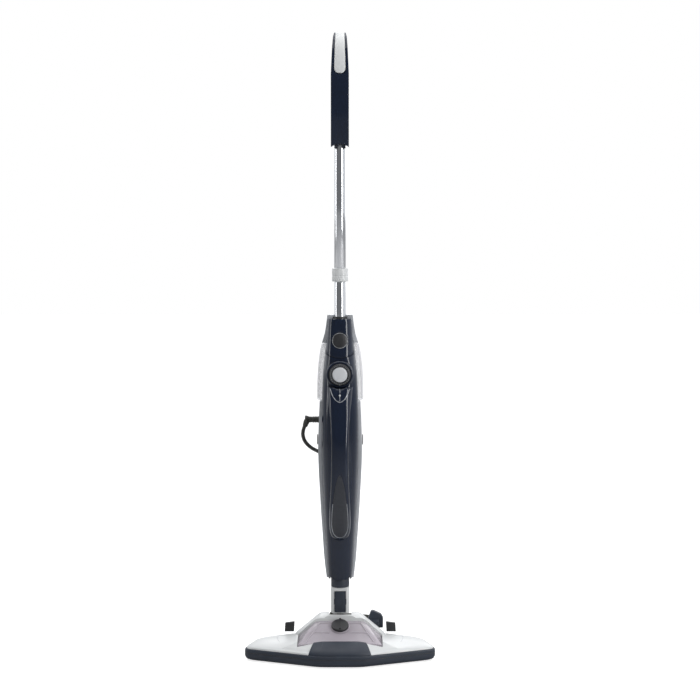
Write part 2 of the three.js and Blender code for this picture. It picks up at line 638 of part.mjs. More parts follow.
function tankSections(shrink) {
  return [
    { y: -66 + shrink, foot: 78 - shrink, crest: 75 - shrink, top: 37.5 - shrink },
    { y: -8.6 - shrink, foot: 78 - shrink, crest: 46 - shrink, top: 64 - shrink },
  ];
}
const TANK_FLOOR = 30.2;
const SLOPE = Math.atan2(64 - 37.5, 66 - 8.6);
const FILL_Y = -24;
const FILL_Z = 37.5 + (FILL_Y + 66) * Math.tan(SLOPE);
const UP_SLOPE = [SLOPE, 0, 0];

const skirt = (z0, z1, d0, d1, rounding) => loft([headRing(z0, d0, rounding), headRing(z1, d1, rounding)]);
const dome = loft([headRing(SKIRT_TOP + GAP, 2.5, 16), headRing(25.5, 4.5, 16), headRing(28.5, 13, 20),
  headRing(31, 30, 30), headRing(32, 44, 30)]);

const RECESS_FRONT = -66.6;
const RECESS_BACK = -8.2;
const APRON_TOP = 38;

// The apron rises from the bumper to the front edge of the detergent tank.
function apron(foot, grow) {
  const rise = loft([headRing(foot, 3.4 - grow, 16), headRing(24 + grow, 4.4 - grow, 16),
    headRing(30 + grow, 11 - grow, 18),
    headRing(APRON_TOP + grow, 24 - grow, 18)]);
  const top = APRON_TOP + 0.5 + grow;
  const ends = polygon([[-106, 10], [-106, 28 + grow], [-79, top], [79, top], [106, 28 + grow], [106, 10]]);
  return rise.intersect(slab(ends, -95, RECESS_BACK));
}

function makeLowerHead() {
  const outer = loft([headRing(1.6, 5, 16), headRing(5, 1.2, 16), headRing(9, 0, 16), headRing(19, 0, 16),
    headRing(SKIRT_TOP, 1.2, 16)]);
  const upperRoom = skirt(7.2, 40, 4.5, 4.5, 14);
  const soleRoom = skirt(-5, 4.8, 8, 8, 14);
  const way = placed(rod(6, 0, 20, 16), [0, 0, 0], [0, AXIS_Y, 0]);
  add('head_base', outer.subtract(upperRoom).subtract(soleRoom).subtract(way), navyMatte);
  let sole = skirt(0, 4.5, 9.2, 8.3, 14);
  const holes = [-120, -72, -24, 24, 72, 120].flatMap((x) => [[x, -30], [x * 0.8, 0]]);
  holes.forEach(([x, y]) => {
    sole = sole.subtract(placed(rod(2, -2, 8, 10), [0, 0, 0], [x, y, 0]));
  });
  add('sole_plate', sole, charcoal);
  add('steam_manifold', block(-90, 90, -18, 6, 7.6, 13), steel);
}

const PEDAL_X = 66;
const CLIP_X = 97;
const clipRoom = (side) => block(side * CLIP_X - 9.6, side * CLIP_X + 9.6, 30, 43, 28, 60);

function makeHeadShell() {
  const hump = ridge(humpSections, 26);
  const underDome = loft([headRing(20, 5, 14), headRing(23.5, 7.5, 16), headRing(26, 16, 20),
    headRing(28, 34, 30)]);
  const bowl = ridge(humpSections.map((s) => ({ y: s.y, foot: s.foot - 4, crest: s.crest - 3,
    top: s.top - 3 })), 20);
  const middle = block(-37, 37, -20, 80, 20, 90);
  const room = bowl.intersect(block(-90, 90, -5.4, 55, 0, 90)).subtract(middle);
  const channel = block(-21.3, 21.3, -1, 90, 44, 90);
  const pinHole = placed(rod(PIN_R + GAP, -31, 31, 16), RIGHTWARD, [0, AXIS_Y, TILT_Z]);
  const recess = block(-78.5, 78.5, RECESS_FRONT, RECESS_BACK, TANK_FLOOR - GAP, 90);
  const lip = polygon([[-34, 62], [34, 62], [28, 71], [21, 74.2], [-21, 74.2], [-28, 71]]);
  const pedalSlot = block(PEDAL_X - 9, PEDAL_X + 9, 49, 66, 20, 90);
  let shell = dome.add(hump).add(apron(SKIRT_TOP + GAP, 0)).add(slab(lip, RECESS_BACK + 0.4, -1.3));
  shell = shell.subtract(underDome).subtract(room).subtract(channel).subtract(pinHole);
  shell = shell.subtract(recess).subtract(pedalSlot).subtract(clipRoom(-1)).subtract(clipRoom(1));
  add('head_shell', shell, white);
}

// The dark plate climbs over the apron from the bumper to the detergent tank.
function makeFrontPlate() {
  const foot = SKIRT_TOP + GAP;
  const skin = loft([headRing(foot, 2, 16), headRing(25.6, 3, 16), headRing(31.8, 9.6, 18),
    headRing(42.6, 27.5, 18)]);
  const outline = polygon([[-58, 21], [-56, 26.5], [-52.5, 33.5], [-48.5, 39.4], [-45, 41.6], [-41, 42.4],
    [41, 42.4], [45, 41.6], [48.5, 39.4], [52.5, 33.5], [56, 26.5], [58, 21]]);
  const grown = loft([headRing(15, 2, 16), headRing(SKIRT_TOP + GAP, 2.2, 16), headRing(25.8, 4.2, 16),
    headRing(28.8, 12.7, 20), headRing(31.4, 29.7, 30)]);
  const plate = skin.intersect(slab(outline, -96, -67));
  add('front_plate', plate.subtract(grown).subtract(apron(15, GAP)), navyMatte);
}

function makeDetergentTank() {
  const outer = ridge(tankSections(0), TANK_FLOOR);
  const hollow = ridge(tankSections(2), TANK_FLOOR + 2);
  const rim = placed(rod(15.4, -1, 1.4, 24), UP_SLOPE, [0, FILL_Y, FILL_Z]);
  const mouth = placed(rod(11.8, -9, 5, 20), UP_SLOPE, [0, FILL_Y, FILL_Z]);
  add('detergent_tank', outer.add(rim).subtract(hollow).subtract(mouth), clear);
  const cap = [[0, -6], [11.4, -6], [11.4, 1.7], [16, 1.7], [16, 5.4], [14.6, 6.8], [0, 7.4]];
  const grip = block(-1.8, 1.8, -14.6, 14.6, 5, 10);
  add('detergent_cap', turned(cap, 28).add(grip), charcoal, [0, FILL_Y, FILL_Z], UP_SLOPE);
}

// The foot pedal and the two pad clips stand at the head's rear edge.
function makeHeadLevers() {
  const face = polygon([[52, 44], [59, 62], [63, 63.2], [78, 56], [82.2, 49.5], [82.2, 30], [56, 30]]);
  const stem = block(PEDAL_X - 8, PEDAL_X + 8, 51, 64.5, 34, 46);
  add('foot_pedal', slab(face, 63.5, 76).add(stem), navyMatte);
  [['pad_clip_left', -1], ['pad_clip_right', 1]].forEach(([name, side]) => {
    const x = side * CLIP_X;
    const tab = new THREE.Shape();
    tab.moveTo(x - 9, 31.6);
    tab.lineTo(x + 9, 31.6);
    tab.lineTo(x + 9 - side * 1.2, 49.4 + side * -1.2);
    tab.lineTo(x - 9 - side * 1.2, 49.4 + side * 1.2);
    add(name, slab(tab, 33, 39), charcoal);
  });
}

// The cord leaves the sleeve's lip, loops behind the body and comes down behind the head to a coil.
const cordRoute = [
  [-64.6, 27, 430.2], [-68.4, 27, 421.5], [-70, 27.5, 412], [-68, 30, 401], [-62, 35, 391],
  [-53, 43, 382], [-43, 54, 375],
  [-33, 67, 366], [-22, 80, 352], [-12, 90, 332], [-5, 96, 305], [-1, 99, 270], [0, 100, 230],
  [0, 100, 190],
  [0, 100, 150], [-2, 100, 115], [-6, 100, 85], [-12, 99, 60], [-21, 98, 42], [-33, 98, 28], [-45, 104, 16],
  [-53, 115, 8], [-56, 129, 4.4], [-55.6, 144, 3.6],
];

function makeCord() {
  add('cord_run', hose(cordRoute, CORD_R, 66, 5), rubber);
  const ring = [[COIL_INNER, 0.1], [COIL_OUTER, 0.1], [COIL_OUTER, COIL_HEIGHT], [COIL_INNER, COIL_HEIGHT],
    [COIL_INNER, 0.1]];
  add('cord_coil', turned(ring, 40), rubber, [COIL_X, COIL_Y, 0]);
  const tie = block(COIL_INNER - 3, COIL_OUTER + 2, -7, 7, 0.1, COIL_HEIGHT + 2)
    .subtract(block(COIL_INNER - 1.4, COIL_OUTER + GAP + 0.1, -9, 9, -5, COIL_HEIGHT + GAP));
  add('cord_tie', tie, charcoal, [COIL_X, COIL_Y, 0], [0, 0, Math.PI / 2 + 0.05]);
  const levels = [0, 6, 22, 40, 45];
  const halfWidth = [5.5, 8, 17, 18.5, 17.5];
  const halfDepth = [4.6, 5.6, 7.3, 7.5, 6.8];
  const body = loft(levels.map((z, i) => oval(z, 0, halfDepth[i], -halfWidth[i], halfWidth[i], 3, 20)));
  const pin = (y) => placed(rod(2.4, 44, 64, 12), [0, 0, 0], [0, y, 0]);
  add('plug', body.add(pin(-9.5)).add(pin(9.5)), rubber, [PLUG_X, PLUG_Y, COIL_HEIGHT + GAP + 7.5],
    LEFTWARD);
}

makeFrontShells();
makeRearShell();
makeCarryHandle();
makeDial();
makeInnards();
makeNozzle();
makeStrainRelief();
makeRearFittings();
makeWaterTank();
makePole();
makeHandle();
makeNeck();
makeSwivel();
makeLowerHead();
makeHeadShell();
makeFrontPlate();
makeDetergentTank();
makeHeadLevers();
makeCord();

export default model;
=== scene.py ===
"""Steam mop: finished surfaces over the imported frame, a free mains cord, a floor, lights and a camera."""
import json
import math
from contextlib import contextmanager

import bmesh
import bpy
from mathutils import Euler, Matrix, Vector


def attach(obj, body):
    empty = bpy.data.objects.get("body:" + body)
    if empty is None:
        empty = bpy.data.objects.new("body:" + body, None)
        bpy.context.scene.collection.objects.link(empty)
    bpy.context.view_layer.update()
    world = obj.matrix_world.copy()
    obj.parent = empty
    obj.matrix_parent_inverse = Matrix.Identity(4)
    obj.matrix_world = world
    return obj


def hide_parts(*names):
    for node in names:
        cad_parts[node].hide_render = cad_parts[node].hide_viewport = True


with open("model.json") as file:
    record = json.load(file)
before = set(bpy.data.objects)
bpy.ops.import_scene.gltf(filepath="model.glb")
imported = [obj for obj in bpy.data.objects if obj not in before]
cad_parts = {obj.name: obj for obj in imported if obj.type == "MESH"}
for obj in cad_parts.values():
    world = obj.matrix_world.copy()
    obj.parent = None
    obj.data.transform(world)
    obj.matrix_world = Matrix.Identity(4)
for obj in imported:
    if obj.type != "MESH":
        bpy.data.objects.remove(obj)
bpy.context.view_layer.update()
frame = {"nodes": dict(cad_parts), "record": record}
nodes = frame["nodes"]
scene = bpy.context.scene
MM = 0.001

# Driving dimensions, in millimetres
GAP = 0.3
AXIS_Y = 15
PARTING_Y = 12
WALL = 2.5
SEAM_Z = 558
SEAM_RISE = 8
DIAL_Z = 529
DIAL_R = 25
BADGE_Z = 590
BADGE_R = 14.6
LENS_Z = 493
TUBE_R = 10.5
SOCKET_R = 13
SLEEVE_Y = 27
SLEEVE_Z = 439
CORD_D = 7
COIL_X = 8
COIL_Y = 144
PLUG_X = 40
PLUG_Y = 109
PLUG_Z = 28.8

# ---------------------------------------------------------------- mesh helpers


@contextmanager
def editing(mesh):
    """Opens a mesh for editing and writes it back."""
    bm = bmesh.new()
    bm.from_mesh(mesh)
    yield bm
    bm.to_mesh(mesh)
    bm.free()


def shown(name, data):
    """A new object in the scene."""
    obj = bpy.data.objects.new(name, data)
    scene.collection.objects.link(obj)
    return obj


def make(name, verts, faces):
    """A closed mesh object from points in millimetres, its normals facing out."""
    mesh = bpy.data.meshes.new(name)
    mesh.from_pydata([(x * MM, y * MM, z * MM) for x, y, z in verts], [], faces)
    obj = shown(name, mesh)
    with editing(mesh) as bm:
        bmesh.ops.remove_doubles(bm, verts=bm.verts, dist=1e-7)
        bmesh.ops.recalc_face_normals(bm, faces=bm.faces)
    return obj


def loft(name, rings):
    """A skin over rings of equal point counts, closed by a flat face at each end."""
    n = len(rings[0])
    verts = [p for ring in rings for p in ring]
    faces = []
    for r in range(len(rings) - 1):
        for i in range(n):
            j = (i + 1) % n
            faces.append((r * n + i, r * n + j, (r + 1) * n + j, (r + 1) * n + i))
    faces.append(tuple(range(n - 1, -1, -1)))
    faces.append(tuple(range((len(rings) - 1) * n, len(rings) * n)))
    return make(name, verts, faces)


def lathe(name, profile, at=(0, 0, 0), turn=(0, 0, 0), count=72):
    """A turned piece about local +Z from (radius, height) pairs. A profile off the axis is a closed loop."""
    rings = []
    verts = []
    angles = [2 * math.pi * i / count for i in range(count)]
    for r, h in profile:
        if r < 1e-6:
            rings.append([len(verts)])
            verts.append((0, 0, h))
        else:
            rings.append(list(range(len(verts), len(verts) + count)))
            verts += [(r * math.cos(a), r * math.sin(a), h) for a in angles]
    if profile[0][0] > 1e-6:
        rings.append(rings[0])
    faces = []
    for a, b in zip(rings, rings[1:]):
        for i in range(count):
            j = (i + 1) % count
            face = [a[i % len(a)], a[j % len(a)], b[j % len(b)], b[i % len(b)]]
            face = list(dict.fromkeys(face))
            if len(face) > 2:
                faces.append(face)
    move = Matrix.Translation(at) @ Euler(turn).to_matrix().to_4x4()
    return make(name, [tuple(move @ Vector(v)) for v in verts], faces)


BOX_FACES = [(0, 1, 3, 2), (4, 5, 7, 6), (0, 1, 5, 4), (2, 3, 7, 6), (0, 2, 6, 4), (1, 3, 7, 5)]


def block(name, x0, x1, y0, y1, z0, z1):
    verts = [(x, y, z) for z in (z0, z1) for y in (y0, y1) for x in (x0, x1)]
    return make(name, verts, BOX_FACES)


def prism(name, outline, low, high, to_point):
    """An outline carried from low to high; to_point turns (u, v, depth) into a point."""
    n = len(outline)
    verts = [to_point(u, v, d) for d in (low, high) for u, v in outline]
    faces = [(i, (i + 1) % n, n + (i + 1) % n, n + i) for i in range(n)]
    faces += [tuple(range(n)), tuple(range(n, 2 * n))]
    return make(name, verts, faces)


def slab(name, outline, y0, y1):
    """An outline in the XZ plane carried along Y."""
    return prism(name, outline, y0, y1, lambda u, v, d: (u, d, v))


def rail(name, outline, half):
    """An outline in the YZ plane carried along X, as wide on both sides."""
    return prism(name, outline, -half, half, lambda u, v, d: (d, u, v))


FRONTWARD = (math.pi / 2, 0, 0)
BACKWARD = (-math.pi / 2, 0, 0)
LEFTWARD = (0, -math.pi / 2, 0)
RIGHTWARD = (0, math.pi / 2, 0)


def rod(name, r, low, high, at=(0, 0, 0), turn=(0, 0, 0), count=64):
    return lathe(name, [(0, low), (r, low), (r, high), (0, high)], at, turn, count)


def bake(obj):
    """Applies the object's modifiers and heals the mesh."""
    graph = bpy.context.evaluated_depsgraph_get()
    mesh = bpy.data.meshes.new_from_object(obj.evaluated_get(graph))
    obj.modifiers.clear()
    with editing(mesh) as bm:
        bmesh.ops.remove_doubles(bm, verts=bm.verts, dist=2e-6)
        bmesh.ops.dissolve_degenerate(bm, dist=1e-6, edges=bm.edges)
        bmesh.ops.holes_fill(bm, edges=[e for e in bm.edges if e.is_boundary], sides=0)
    obj.data = mesh
    mesh.name = obj.name


def combine(obj, tool, operation):
    mod = obj.modifiers.new(operation, "BOOLEAN")
    mod.object = tool
    mod.operation = operation
    mod.solver = "EXACT"
    bake(obj)
    bpy.data.objects.remove(tool)
    return obj


def cut(obj, *tools):
    for tool in tools:
        combine(obj, tool, "DIFFERENCE")
    return obj


def keep(obj, tool):
    return combine(obj, tool, "INTERSECT")


def join(obj, *tools):
    for tool in tools:
        combine(obj, tool, "UNION")
    return obj


def round_edges(obj, width, angle=35, segments=2, chosen=None):
    """Rounds the edges that turn by more than an angle and, where chosen is given, that it picks."""
    limit = math.radians(angle)
    with editing(obj.data) as bm:
        bmesh.ops.dissolve_degenerate(bm, dist=1e-7, edges=bm.edges)
        bmesh.ops.dissolve_limit(bm, angle_limit=math.radians(0.4), verts=bm.verts, edges=bm.edges)
        edges = [e for e in bm.edges if e.is_manifold and e.calc_face_angle(0) > limit]
        if chosen:
            edges = [e for e in edges if chosen(e)]
        bmesh.ops.bevel(bm, geom=edges, offset=width * MM, offset_type="OFFSET", segments=segments,
                        profile=0.5, affect="EDGES", clamp_overlap=True)
    return obj


def smooth(obj, angle=35):
    """Smooth faces, with the edges that turn by more than an angle kept sharp."""
    limit = math.radians(angle)
    with editing(obj.data) as bm:
        for face in bm.faces:
            face.smooth = True
        for edge in bm.edges:
            edge.smooth = edge.is_manifold and edge.calc_face_angle(0) < limit
    return obj


def put(obj, body, slot, *stands_for, angle=35):
    """Shades a finished piece, gives it its finish and makes it move with a body."""
    smooth(obj, angle)
    obj.data.materials.clear()
    obj.data.materials.append(FINISH[slot])
    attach(obj, body)
    if stands_for:
        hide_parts(*stands_for)
    return obj


def between(stations, key, z):
    """A value between stations, smooth from one to the next; column 0 holds the height."""
    last = len(stations) - 1
    i = next((k for k, s in enumerate(stations) if s[0] > z), None)
    i = last - 1 if i is None else max(i - 1, 0)
    a, b = stations[i], stations[i + 1]
    before, after = stations[max(i - 1, 0)], stations[min(i + 2, last)]
    span = b[0] - a[0]
    t = min(max((z - a[0]) / span, 0), 1)
    m0 = (b[key] - before[key]) / (b[0] - before[0]) * span
    m1 = (after[key] - a[key]) / (after[0] - a[0]) * span
    return ((2 * t**3 - 3 * t**2 + 1) * a[key] + (t**3 - 2 * t**2 + t) * m0
            + (3 * t**2 - 2 * t**3) * b[key] + (t**3 - t**2) * m1)


def oval(z, y, half, front, back, square, count):
    """A squarish oval in a level plane, with its own reach to the front and to the back."""
    ring = []
    for i in range(count):
        a = 2 * math.pi * i / count
        c, s = math.cos(a), math.sin(a)
        reach = y - front if s < 0 else back - y
        across = math.copysign(abs(c) ** (2 / square), c)
        along = math.copysign(abs(s) ** (2 / square), s)
        ring.append((half * across, y + reach * along, z))
    return ring


def bezier(p0, p1, p2, p3, count):
    points = []
    for i in range(count):
        t = i / count
        s = 1 - t
        points.append(tuple(s**3 * a + 3 * s * s * t * b + 3 * s * t * t * c + t**3 * d
                            for a, b, c, d in zip(p0, p1, p2, p3)))
    return points


def steps(low, high, size):
    count = max(1, round((high - low) / size))
    return [low + (high - low) * i / count for i in range(count + 1)]


def spline(points, closed, per_span):
    """A smooth line through points in any number of dimensions."""
    n = len(points)
    spans = n if closed else n - 1
    line = []
    for i in range(spans):
        if closed:
            p = [points[(i + k) % n] for k in (-1, 0, 1, 2)]
        else:
            p = [points[min(max(i + k, 0), n - 1)] for k in (-1, 0, 1, 2)]
        for k in range(per_span):
            t = k / per_span
            line.append(tuple(0.5 * (2 * b + (c - a) * t + (2 * a - 5 * b + 4 * c - d) * t * t
                                     + (3 * b - a - 3 * c + d) * t**3)
                              for a, b, c, d in zip(*p)))
    if not closed:
        line.append(tuple(points[-1]))
    return line


def wire(name, points, diameter, closed=False):
    """A round thread along points in millimetres, as a mesh-ready curve."""
    data = bpy.data.curves.new(name, "CURVE")
    data.dimensions = "3D"
    line = data.splines.new("POLY")
    line.points.add(len(points) - 1)
    for point, (x, y, z) in zip(line.points, points):
        point.co = (x * MM, y * MM, z * MM, 1)
    line.use_cyclic_u = closed
    line.use_smooth = True
    data.bevel_depth = diameter / 2 * MM
    data.bevel_resolution = 5
    data.use_fill_caps = True
    return shown(name, data)


# ---------------------------------------------------------------- finishes


def tree(name):
    material = bpy.data.materials.new(name)
    material.use_nodes = True
    shader = material.node_tree.nodes["Principled BSDF"]
    place = material.node_tree.nodes.new("ShaderNodeTexCoord")
    return material, shader, place


def noise(material, place, scale, detail=3.0, stretch=(1, 1, 1)):
    links, made = material.node_tree.links, material.node_tree.nodes
    spread = made.new("ShaderNodeMapping")
    spread.inputs["Scale"].default_value = stretch
    texture = made.new("ShaderNodeTexNoise")
    texture.inputs["Scale"].default_value = scale
    texture.inputs["Detail"].default_value = detail
    links.new(place.outputs["Object"], spread.inputs["Vector"])
    links.new(spread.outputs["Vector"], texture.inputs["Vector"])
    return texture.outputs["Fac"]


def remap(material, value, low, high, source=(0.3, 0.7)):
    node = material.node_tree.nodes.new("ShaderNodeMapRange")
    node.inputs["From Min"].default_value = source[0]
    node.inputs["From Max"].default_value = source[1]
    node.inputs["To Min"].default_value = low
    node.inputs["To Max"].default_value = high
    material.node_tree.links.new(value, node.inputs["Value"])
    return node.outputs["Result"]


def tint(material, value, one, two):
    node = material.node_tree.nodes.new("ShaderNodeMix")
    node.data_type = "RGBA"
    node.inputs["A"].default_value = (*one, 1)
    node.inputs["B"].default_value = (*two, 1)
    material.node_tree.links.new(value, node.inputs["Factor"])
    return node.outputs["Result"]


def bump(material, value, depth, before=None):
    node = material.node_tree.nodes.new("ShaderNodeBump")
    node.inputs["Strength"].default_value = 1.0
    node.inputs["Distance"].default_value = depth
    material.node_tree.links.new(value, node.inputs["Height"])
    if before is not None:
        material.node_tree.links.new(before, node.inputs["Normal"])
    return node.outputs["Normal"]


def moulded(name, color, rough, spread, grain_scale, grain_depth, coat=0.0, metallic=0.0, specular=0.5,
            vary=0.12, stretch=(1, 1, 1)):
    """Moulded plastic, rubber or metal: mottled colour, uneven gloss, handling smears and a fine grain."""
    material, shader, place = tree(name)
    link = material.node_tree.links.new
    cloud = noise(material, place, 18, 4, stretch)
    darker = tuple(c * (1 - vary) for c in color)
    lighter = tuple(min(1, c * (1 + vary)) for c in color)
    link(tint(material, remap(material, cloud, 0, 1), darker, lighter), shader.inputs["Base Color"])
    smear = noise(material, place, 46, 6, stretch)
    link(remap(material, smear, rough - spread, rough + spread), shader.inputs["Roughness"])
    grain = noise(material, place, grain_scale, 2, stretch)
    link(bump(material, grain, grain_depth), shader.inputs["Normal"])
    shader.inputs["Coat Weight"].default_value = coat
    shader.inputs["Coat Roughness"].default_value = 0.06
    shader.inputs["Metallic"].default_value = metallic
    shader.inputs["Specular IOR Level"].default_value = specular
    return material


def see_through(name, color, low, high, rough):
    """Clear moulded plastic: open when seen square on, milky at its edges, with faint flow marks."""
    material, shader, place = tree(name)
    link = material.node_tree.links.new
    cloud = noise(material, place, 30, 3)
    pale = tuple(min(1, c * 1.06) for c in color)
    link(tint(material, remap(material, cloud, 0, 1), color, pale), shader.inputs["Base Color"])
    facing = material.node_tree.nodes.new("ShaderNodeLayerWeight")
    facing.inputs["Blend"].default_value = 0.35
    link(remap(material, facing.outputs["Facing"], low, high, (0, 1)), shader.inputs["Alpha"])
    link(remap(material, noise(material, place, 60, 4), rough * 0.6, rough * 1.6),
         shader.inputs["Roughness"])
    link(bump(material, noise(material, place, 90, 2), 0.000015), shader.inputs["Normal"])
    shader.inputs["Coat Weight"].default_value = 0.3
    return material


FINISH = {
    "navy_gloss": moulded("navy_gloss", (0.0062, 0.0115, 0.027), 0.13, 0.04, 1400, 0.000004, coat=0.2,
                          specular=0.34),
    "navy_matte": moulded("navy_matte", (0.019, 0.026, 0.041), 0.5, 0.08, 2400, 0.00003),
    "white_plastic": moulded("white_plastic", (0.62, 0.63, 0.63), 0.36, 0.06, 1500, 0.000008, coat=0.1,
                             vary=0.02),
    "silver_plastic": moulded("silver_plastic", (0.46, 0.475, 0.5), 0.38, 0.07, 3200, 0.000012, coat=0.25,
                              metallic=0.35, vary=0.05),
    "charcoal_plastic": moulded("charcoal_plastic", (0.02, 0.02, 0.022), 0.46, 0.09, 2200, 0.00004),
    "cord_rubber": moulded("cord_rubber", (0.042, 0.041, 0.037), 0.56, 0.09, 1100, 0.00003),
    "chrome": moulded("chrome", (0.7, 0.71, 0.73), 0.12, 0.01, 120, 0.00000005, metallic=1.0, vary=0.02,
                      stretch=(1, 1, 0.03)),
    "steel": moulded("steel", (0.5, 0.5, 0.5), 0.32, 0.1, 1500, 0.00001, metallic=1.0, stretch=(1, 1, 0.1)),
    "brass": moulded("brass", (0.6, 0.42, 0.17), 0.36, 0.1, 1500, 0.00001, metallic=1.0),
    "clear_plastic": see_through("clear_plastic", (0.66, 0.66, 0.68), 0.14, 0.7, 0.09),
    "clear_hose": see_through("clear_hose", (0.75, 0.75, 0.72), 0.45, 0.9, 0.3),
    "circuit_board": moulded("circuit_board", (0.02, 0.13, 0.05), 0.42, 0.1, 600, 0.00003),
    "red_silicone": moulded("red_silicone", (0.38, 0.06, 0.03), 0.55, 0.1, 900, 0.00003),
    "button_face": moulded("button_face", (0.62, 0.63, 0.65), 0.3, 0.06, 1800, 0.00001, coat=0.2,
                           metallic=0.1, vary=0.03),
    "smoky_plastic": see_through("smoky_plastic", (0.6, 0.55, 0.6), 0.3, 0.85, 0.1),
    "rib_plastic": moulded("rib_plastic", (0.42, 0.38, 0.42), 0.2, 0.05, 1200, 0.000006, coat=0.2),
}


def ribbed(name, color, pitch, axis, rough):
    """Soft-touch plastic with fine parallel ribs a pitch apart, in metres."""
    material, shader, place = tree(name)
    link = material.node_tree.links.new
    wave = material.node_tree.nodes.new("ShaderNodeTexWave")
    wave.wave_type = "BANDS"
    wave.bands_direction = axis
    wave.inputs["Scale"].default_value = 1 / pitch / 6.2832 * 2
    link(place.outputs["Object"], wave.inputs["Vector"])
    ribs = bump(material, wave.outputs["Fac"], 0.0003)
    link(bump(material, noise(material, place, 2400, 2), 0.00003, ribs), shader.inputs["Normal"])
    cloud = noise(material, place, 20, 4)
    darker = tuple(c * 0.85 for c in color)
    link(tint(material, remap(material, cloud, 0, 1), darker, color), shader.inputs["Base Color"])
    link(remap(material, noise(material, place, 50, 5), rough - 0.07, rough + 0.07),
         shader.inputs["Roughness"])
    return material


# ---------------------------------------------------------------- camera, floor and light


def aim(obj, target):
    obj.rotation_euler = (Vector(target) - obj.location).to_track_quat("-Z", "Y").to_euler()


def make_camera():
    camera = shown("camera", bpy.data.cameras.new("camera"))
    camera.data.sensor_width = 36
    camera.data.lens = 69.4
    camera.location = (0.0185, -2.485, 0.7686)
    camera.rotation_euler = (math.radians(90 - 4.53), 0, 0)
    scene.camera = camera


def lamp(name, at, target, size, power, color=(1, 1, 1)):
    data = bpy.data.lights.new(name, "AREA")
    data.shape = "RECTANGLE"
    data.size, data.size_y = size
    data.energy = power
    data.color = color
    obj = shown(name, data)
    obj.location = at
    aim(obj, target)


def make_stage():
    floor = make("floor", [(-12000, -12000, -0.5), (12000, -12000, -0.5), (12000, 12000, -0.5),
                           (-12000, 12000, -0.5)],
                 [(0, 1, 2, 3)])
    material, shader, place = tree("floor")
    link = material.node_tree.links.new
    link(tint(material, noise(material, place, 3, 2), (0.5, 0.5, 0.5), (0.52, 0.52, 0.52)),
         shader.inputs["Base Color"])
    shader.inputs["Roughness"].default_value = 0.8
    shader.inputs["Specular IOR Level"].default_value = 0.1
    shader.inputs["Emission Color"].default_value = (1, 1, 1, 1)
    seen = material.node_tree.nodes.new("ShaderNodeLightPath")
    link(remap(material, seen.outputs["Is Camera Ray"], 0.05, 0.76, (0, 1)),
         shader.inputs["Emission Strength"])
    floor.data.materials.append(material)
    world = bpy.data.worlds.new("studio")
    world.use_nodes = True
    made, links = world.node_tree.nodes, world.node_tree.links
    shown, unseen = made["Background"], made.new("ShaderNodeBackground")
    shown.inputs["Color"].default_value = (1, 1, 1, 1)
    shown.inputs["Strength"].default_value = 1.0
    unseen.inputs["Color"].default_value = (0.95, 0.97, 1, 1)
    way, toward = made.new("ShaderNodeTexCoord"), made.new("ShaderNodeVectorMath")
    toward.operation = "DOT_PRODUCT"
    toward.inputs[1].default_value = (-0.3, -0.95, 0.05)
    links.new(way.outputs["Generated"], toward.inputs[0])
    shade = made.new("ShaderNodeMapRange")
    shade.interpolation_type = "SMOOTHSTEP"
    shade.inputs["From Min"].default_value = -0.1
    shade.inputs["From Max"].default_value = 0.5
    shade.inputs["To Min"].default_value = 0.9
    shade.inputs["To Max"].default_value = 0.2
    links.new(toward.outputs["Value"], shade.inputs["Value"])
    links.new(shade.outputs["Result"], unseen.inputs["Strength"])
    path, mix = made.new("ShaderNodeLightPath"), made.new("ShaderNodeMixShader")
    links.new(path.outputs["Is Camera Ray"], mix.inputs["Fac"])
    links.new(unseen.outputs[0], mix.inputs[1])
    links.new(shown.outputs[0], mix.inputs[2])
    links.new(mix.outputs[0], made["World Output"].inputs["Surface"])
    scene.world = world
    lamp("key_right", (1.7, -1.5, 1.3), (0, 0, 0.55), (0.5, 2.2), 30)
    lamp("key_left", (-2.2, -0.1, 1.2), (0, 0, 0.5), (0.4, 2.0), 10)
    lamp("overhead", (0, -0.2, 2.6), (0, 0, 0), (2.2, 2.2), 27)
    lamp("back", (0.3, 2.0, 1.5), (0, 0, 0.5), (1.6, 1.6), 14)
    scene.view_settings.view_transform = "Standard"


make_camera()
make_stage()

# ---------------------------------------------------------------- the mains cord

ROUTE = [
    (-64.6, 27, 430.2), (-68.4, 27, 421.5), (-70, 27.5, 412), (-68, 30, 401), (-62, 35, 391),
    (-53, 43, 382), (-43, 54, 375), (-33, 67, 366), (-22, 80, 352), (-12, 90, 332), (-5, 96, 305),
    (-1, 99, 270), (0, 100, 230), (0, 100, 190), (0, 100, 150), (-2, 100, 115), (-6, 100, 85),
    (-12, 99, 60), (-21, 98, 42), (-33, 98, 28), (-45, 104, 16), (-53, 115, 8), (-56, 129, 4.4),
    (-55.6, 144, 3.6),
]


def ease(t):
    t = min(max(t, 0), 1)
    return t * t * (3 - 2 * t)


def coil_points(per_turn=28):
    """Five turns inwards on the floor, five outwards on them and five inwards again."""
    shift, rings, low = 0.3, 5, CORD_D / 2 + 0.1
    inner = 28.6
    radii = [inner + CORD_D * k for k in (4, 3, 2, 1, 0, 0, 1, 2, 3, 4, 4, 3, 2, 1, 0)]
    points = []
    for i in range(1, 15 * per_turn + 1):
        t = i / per_turn
        turn = min(int(t), 14)
        s = t - turn
        came = radii[turn - 1] if turn else inner + CORD_D * 5
        r = came + (radii[turn] - came) * ease(s / shift)
        z = low + CORD_D * (ease((t - rings + 0.3) / 0.4) + ease((t - 2 * rings + 0.3) / 0.4))
        a = math.pi - 2 * math.pi * t
        points.append((COIL_X + r * math.cos(a), COIL_Y + r * math.sin(a), z))
    return points


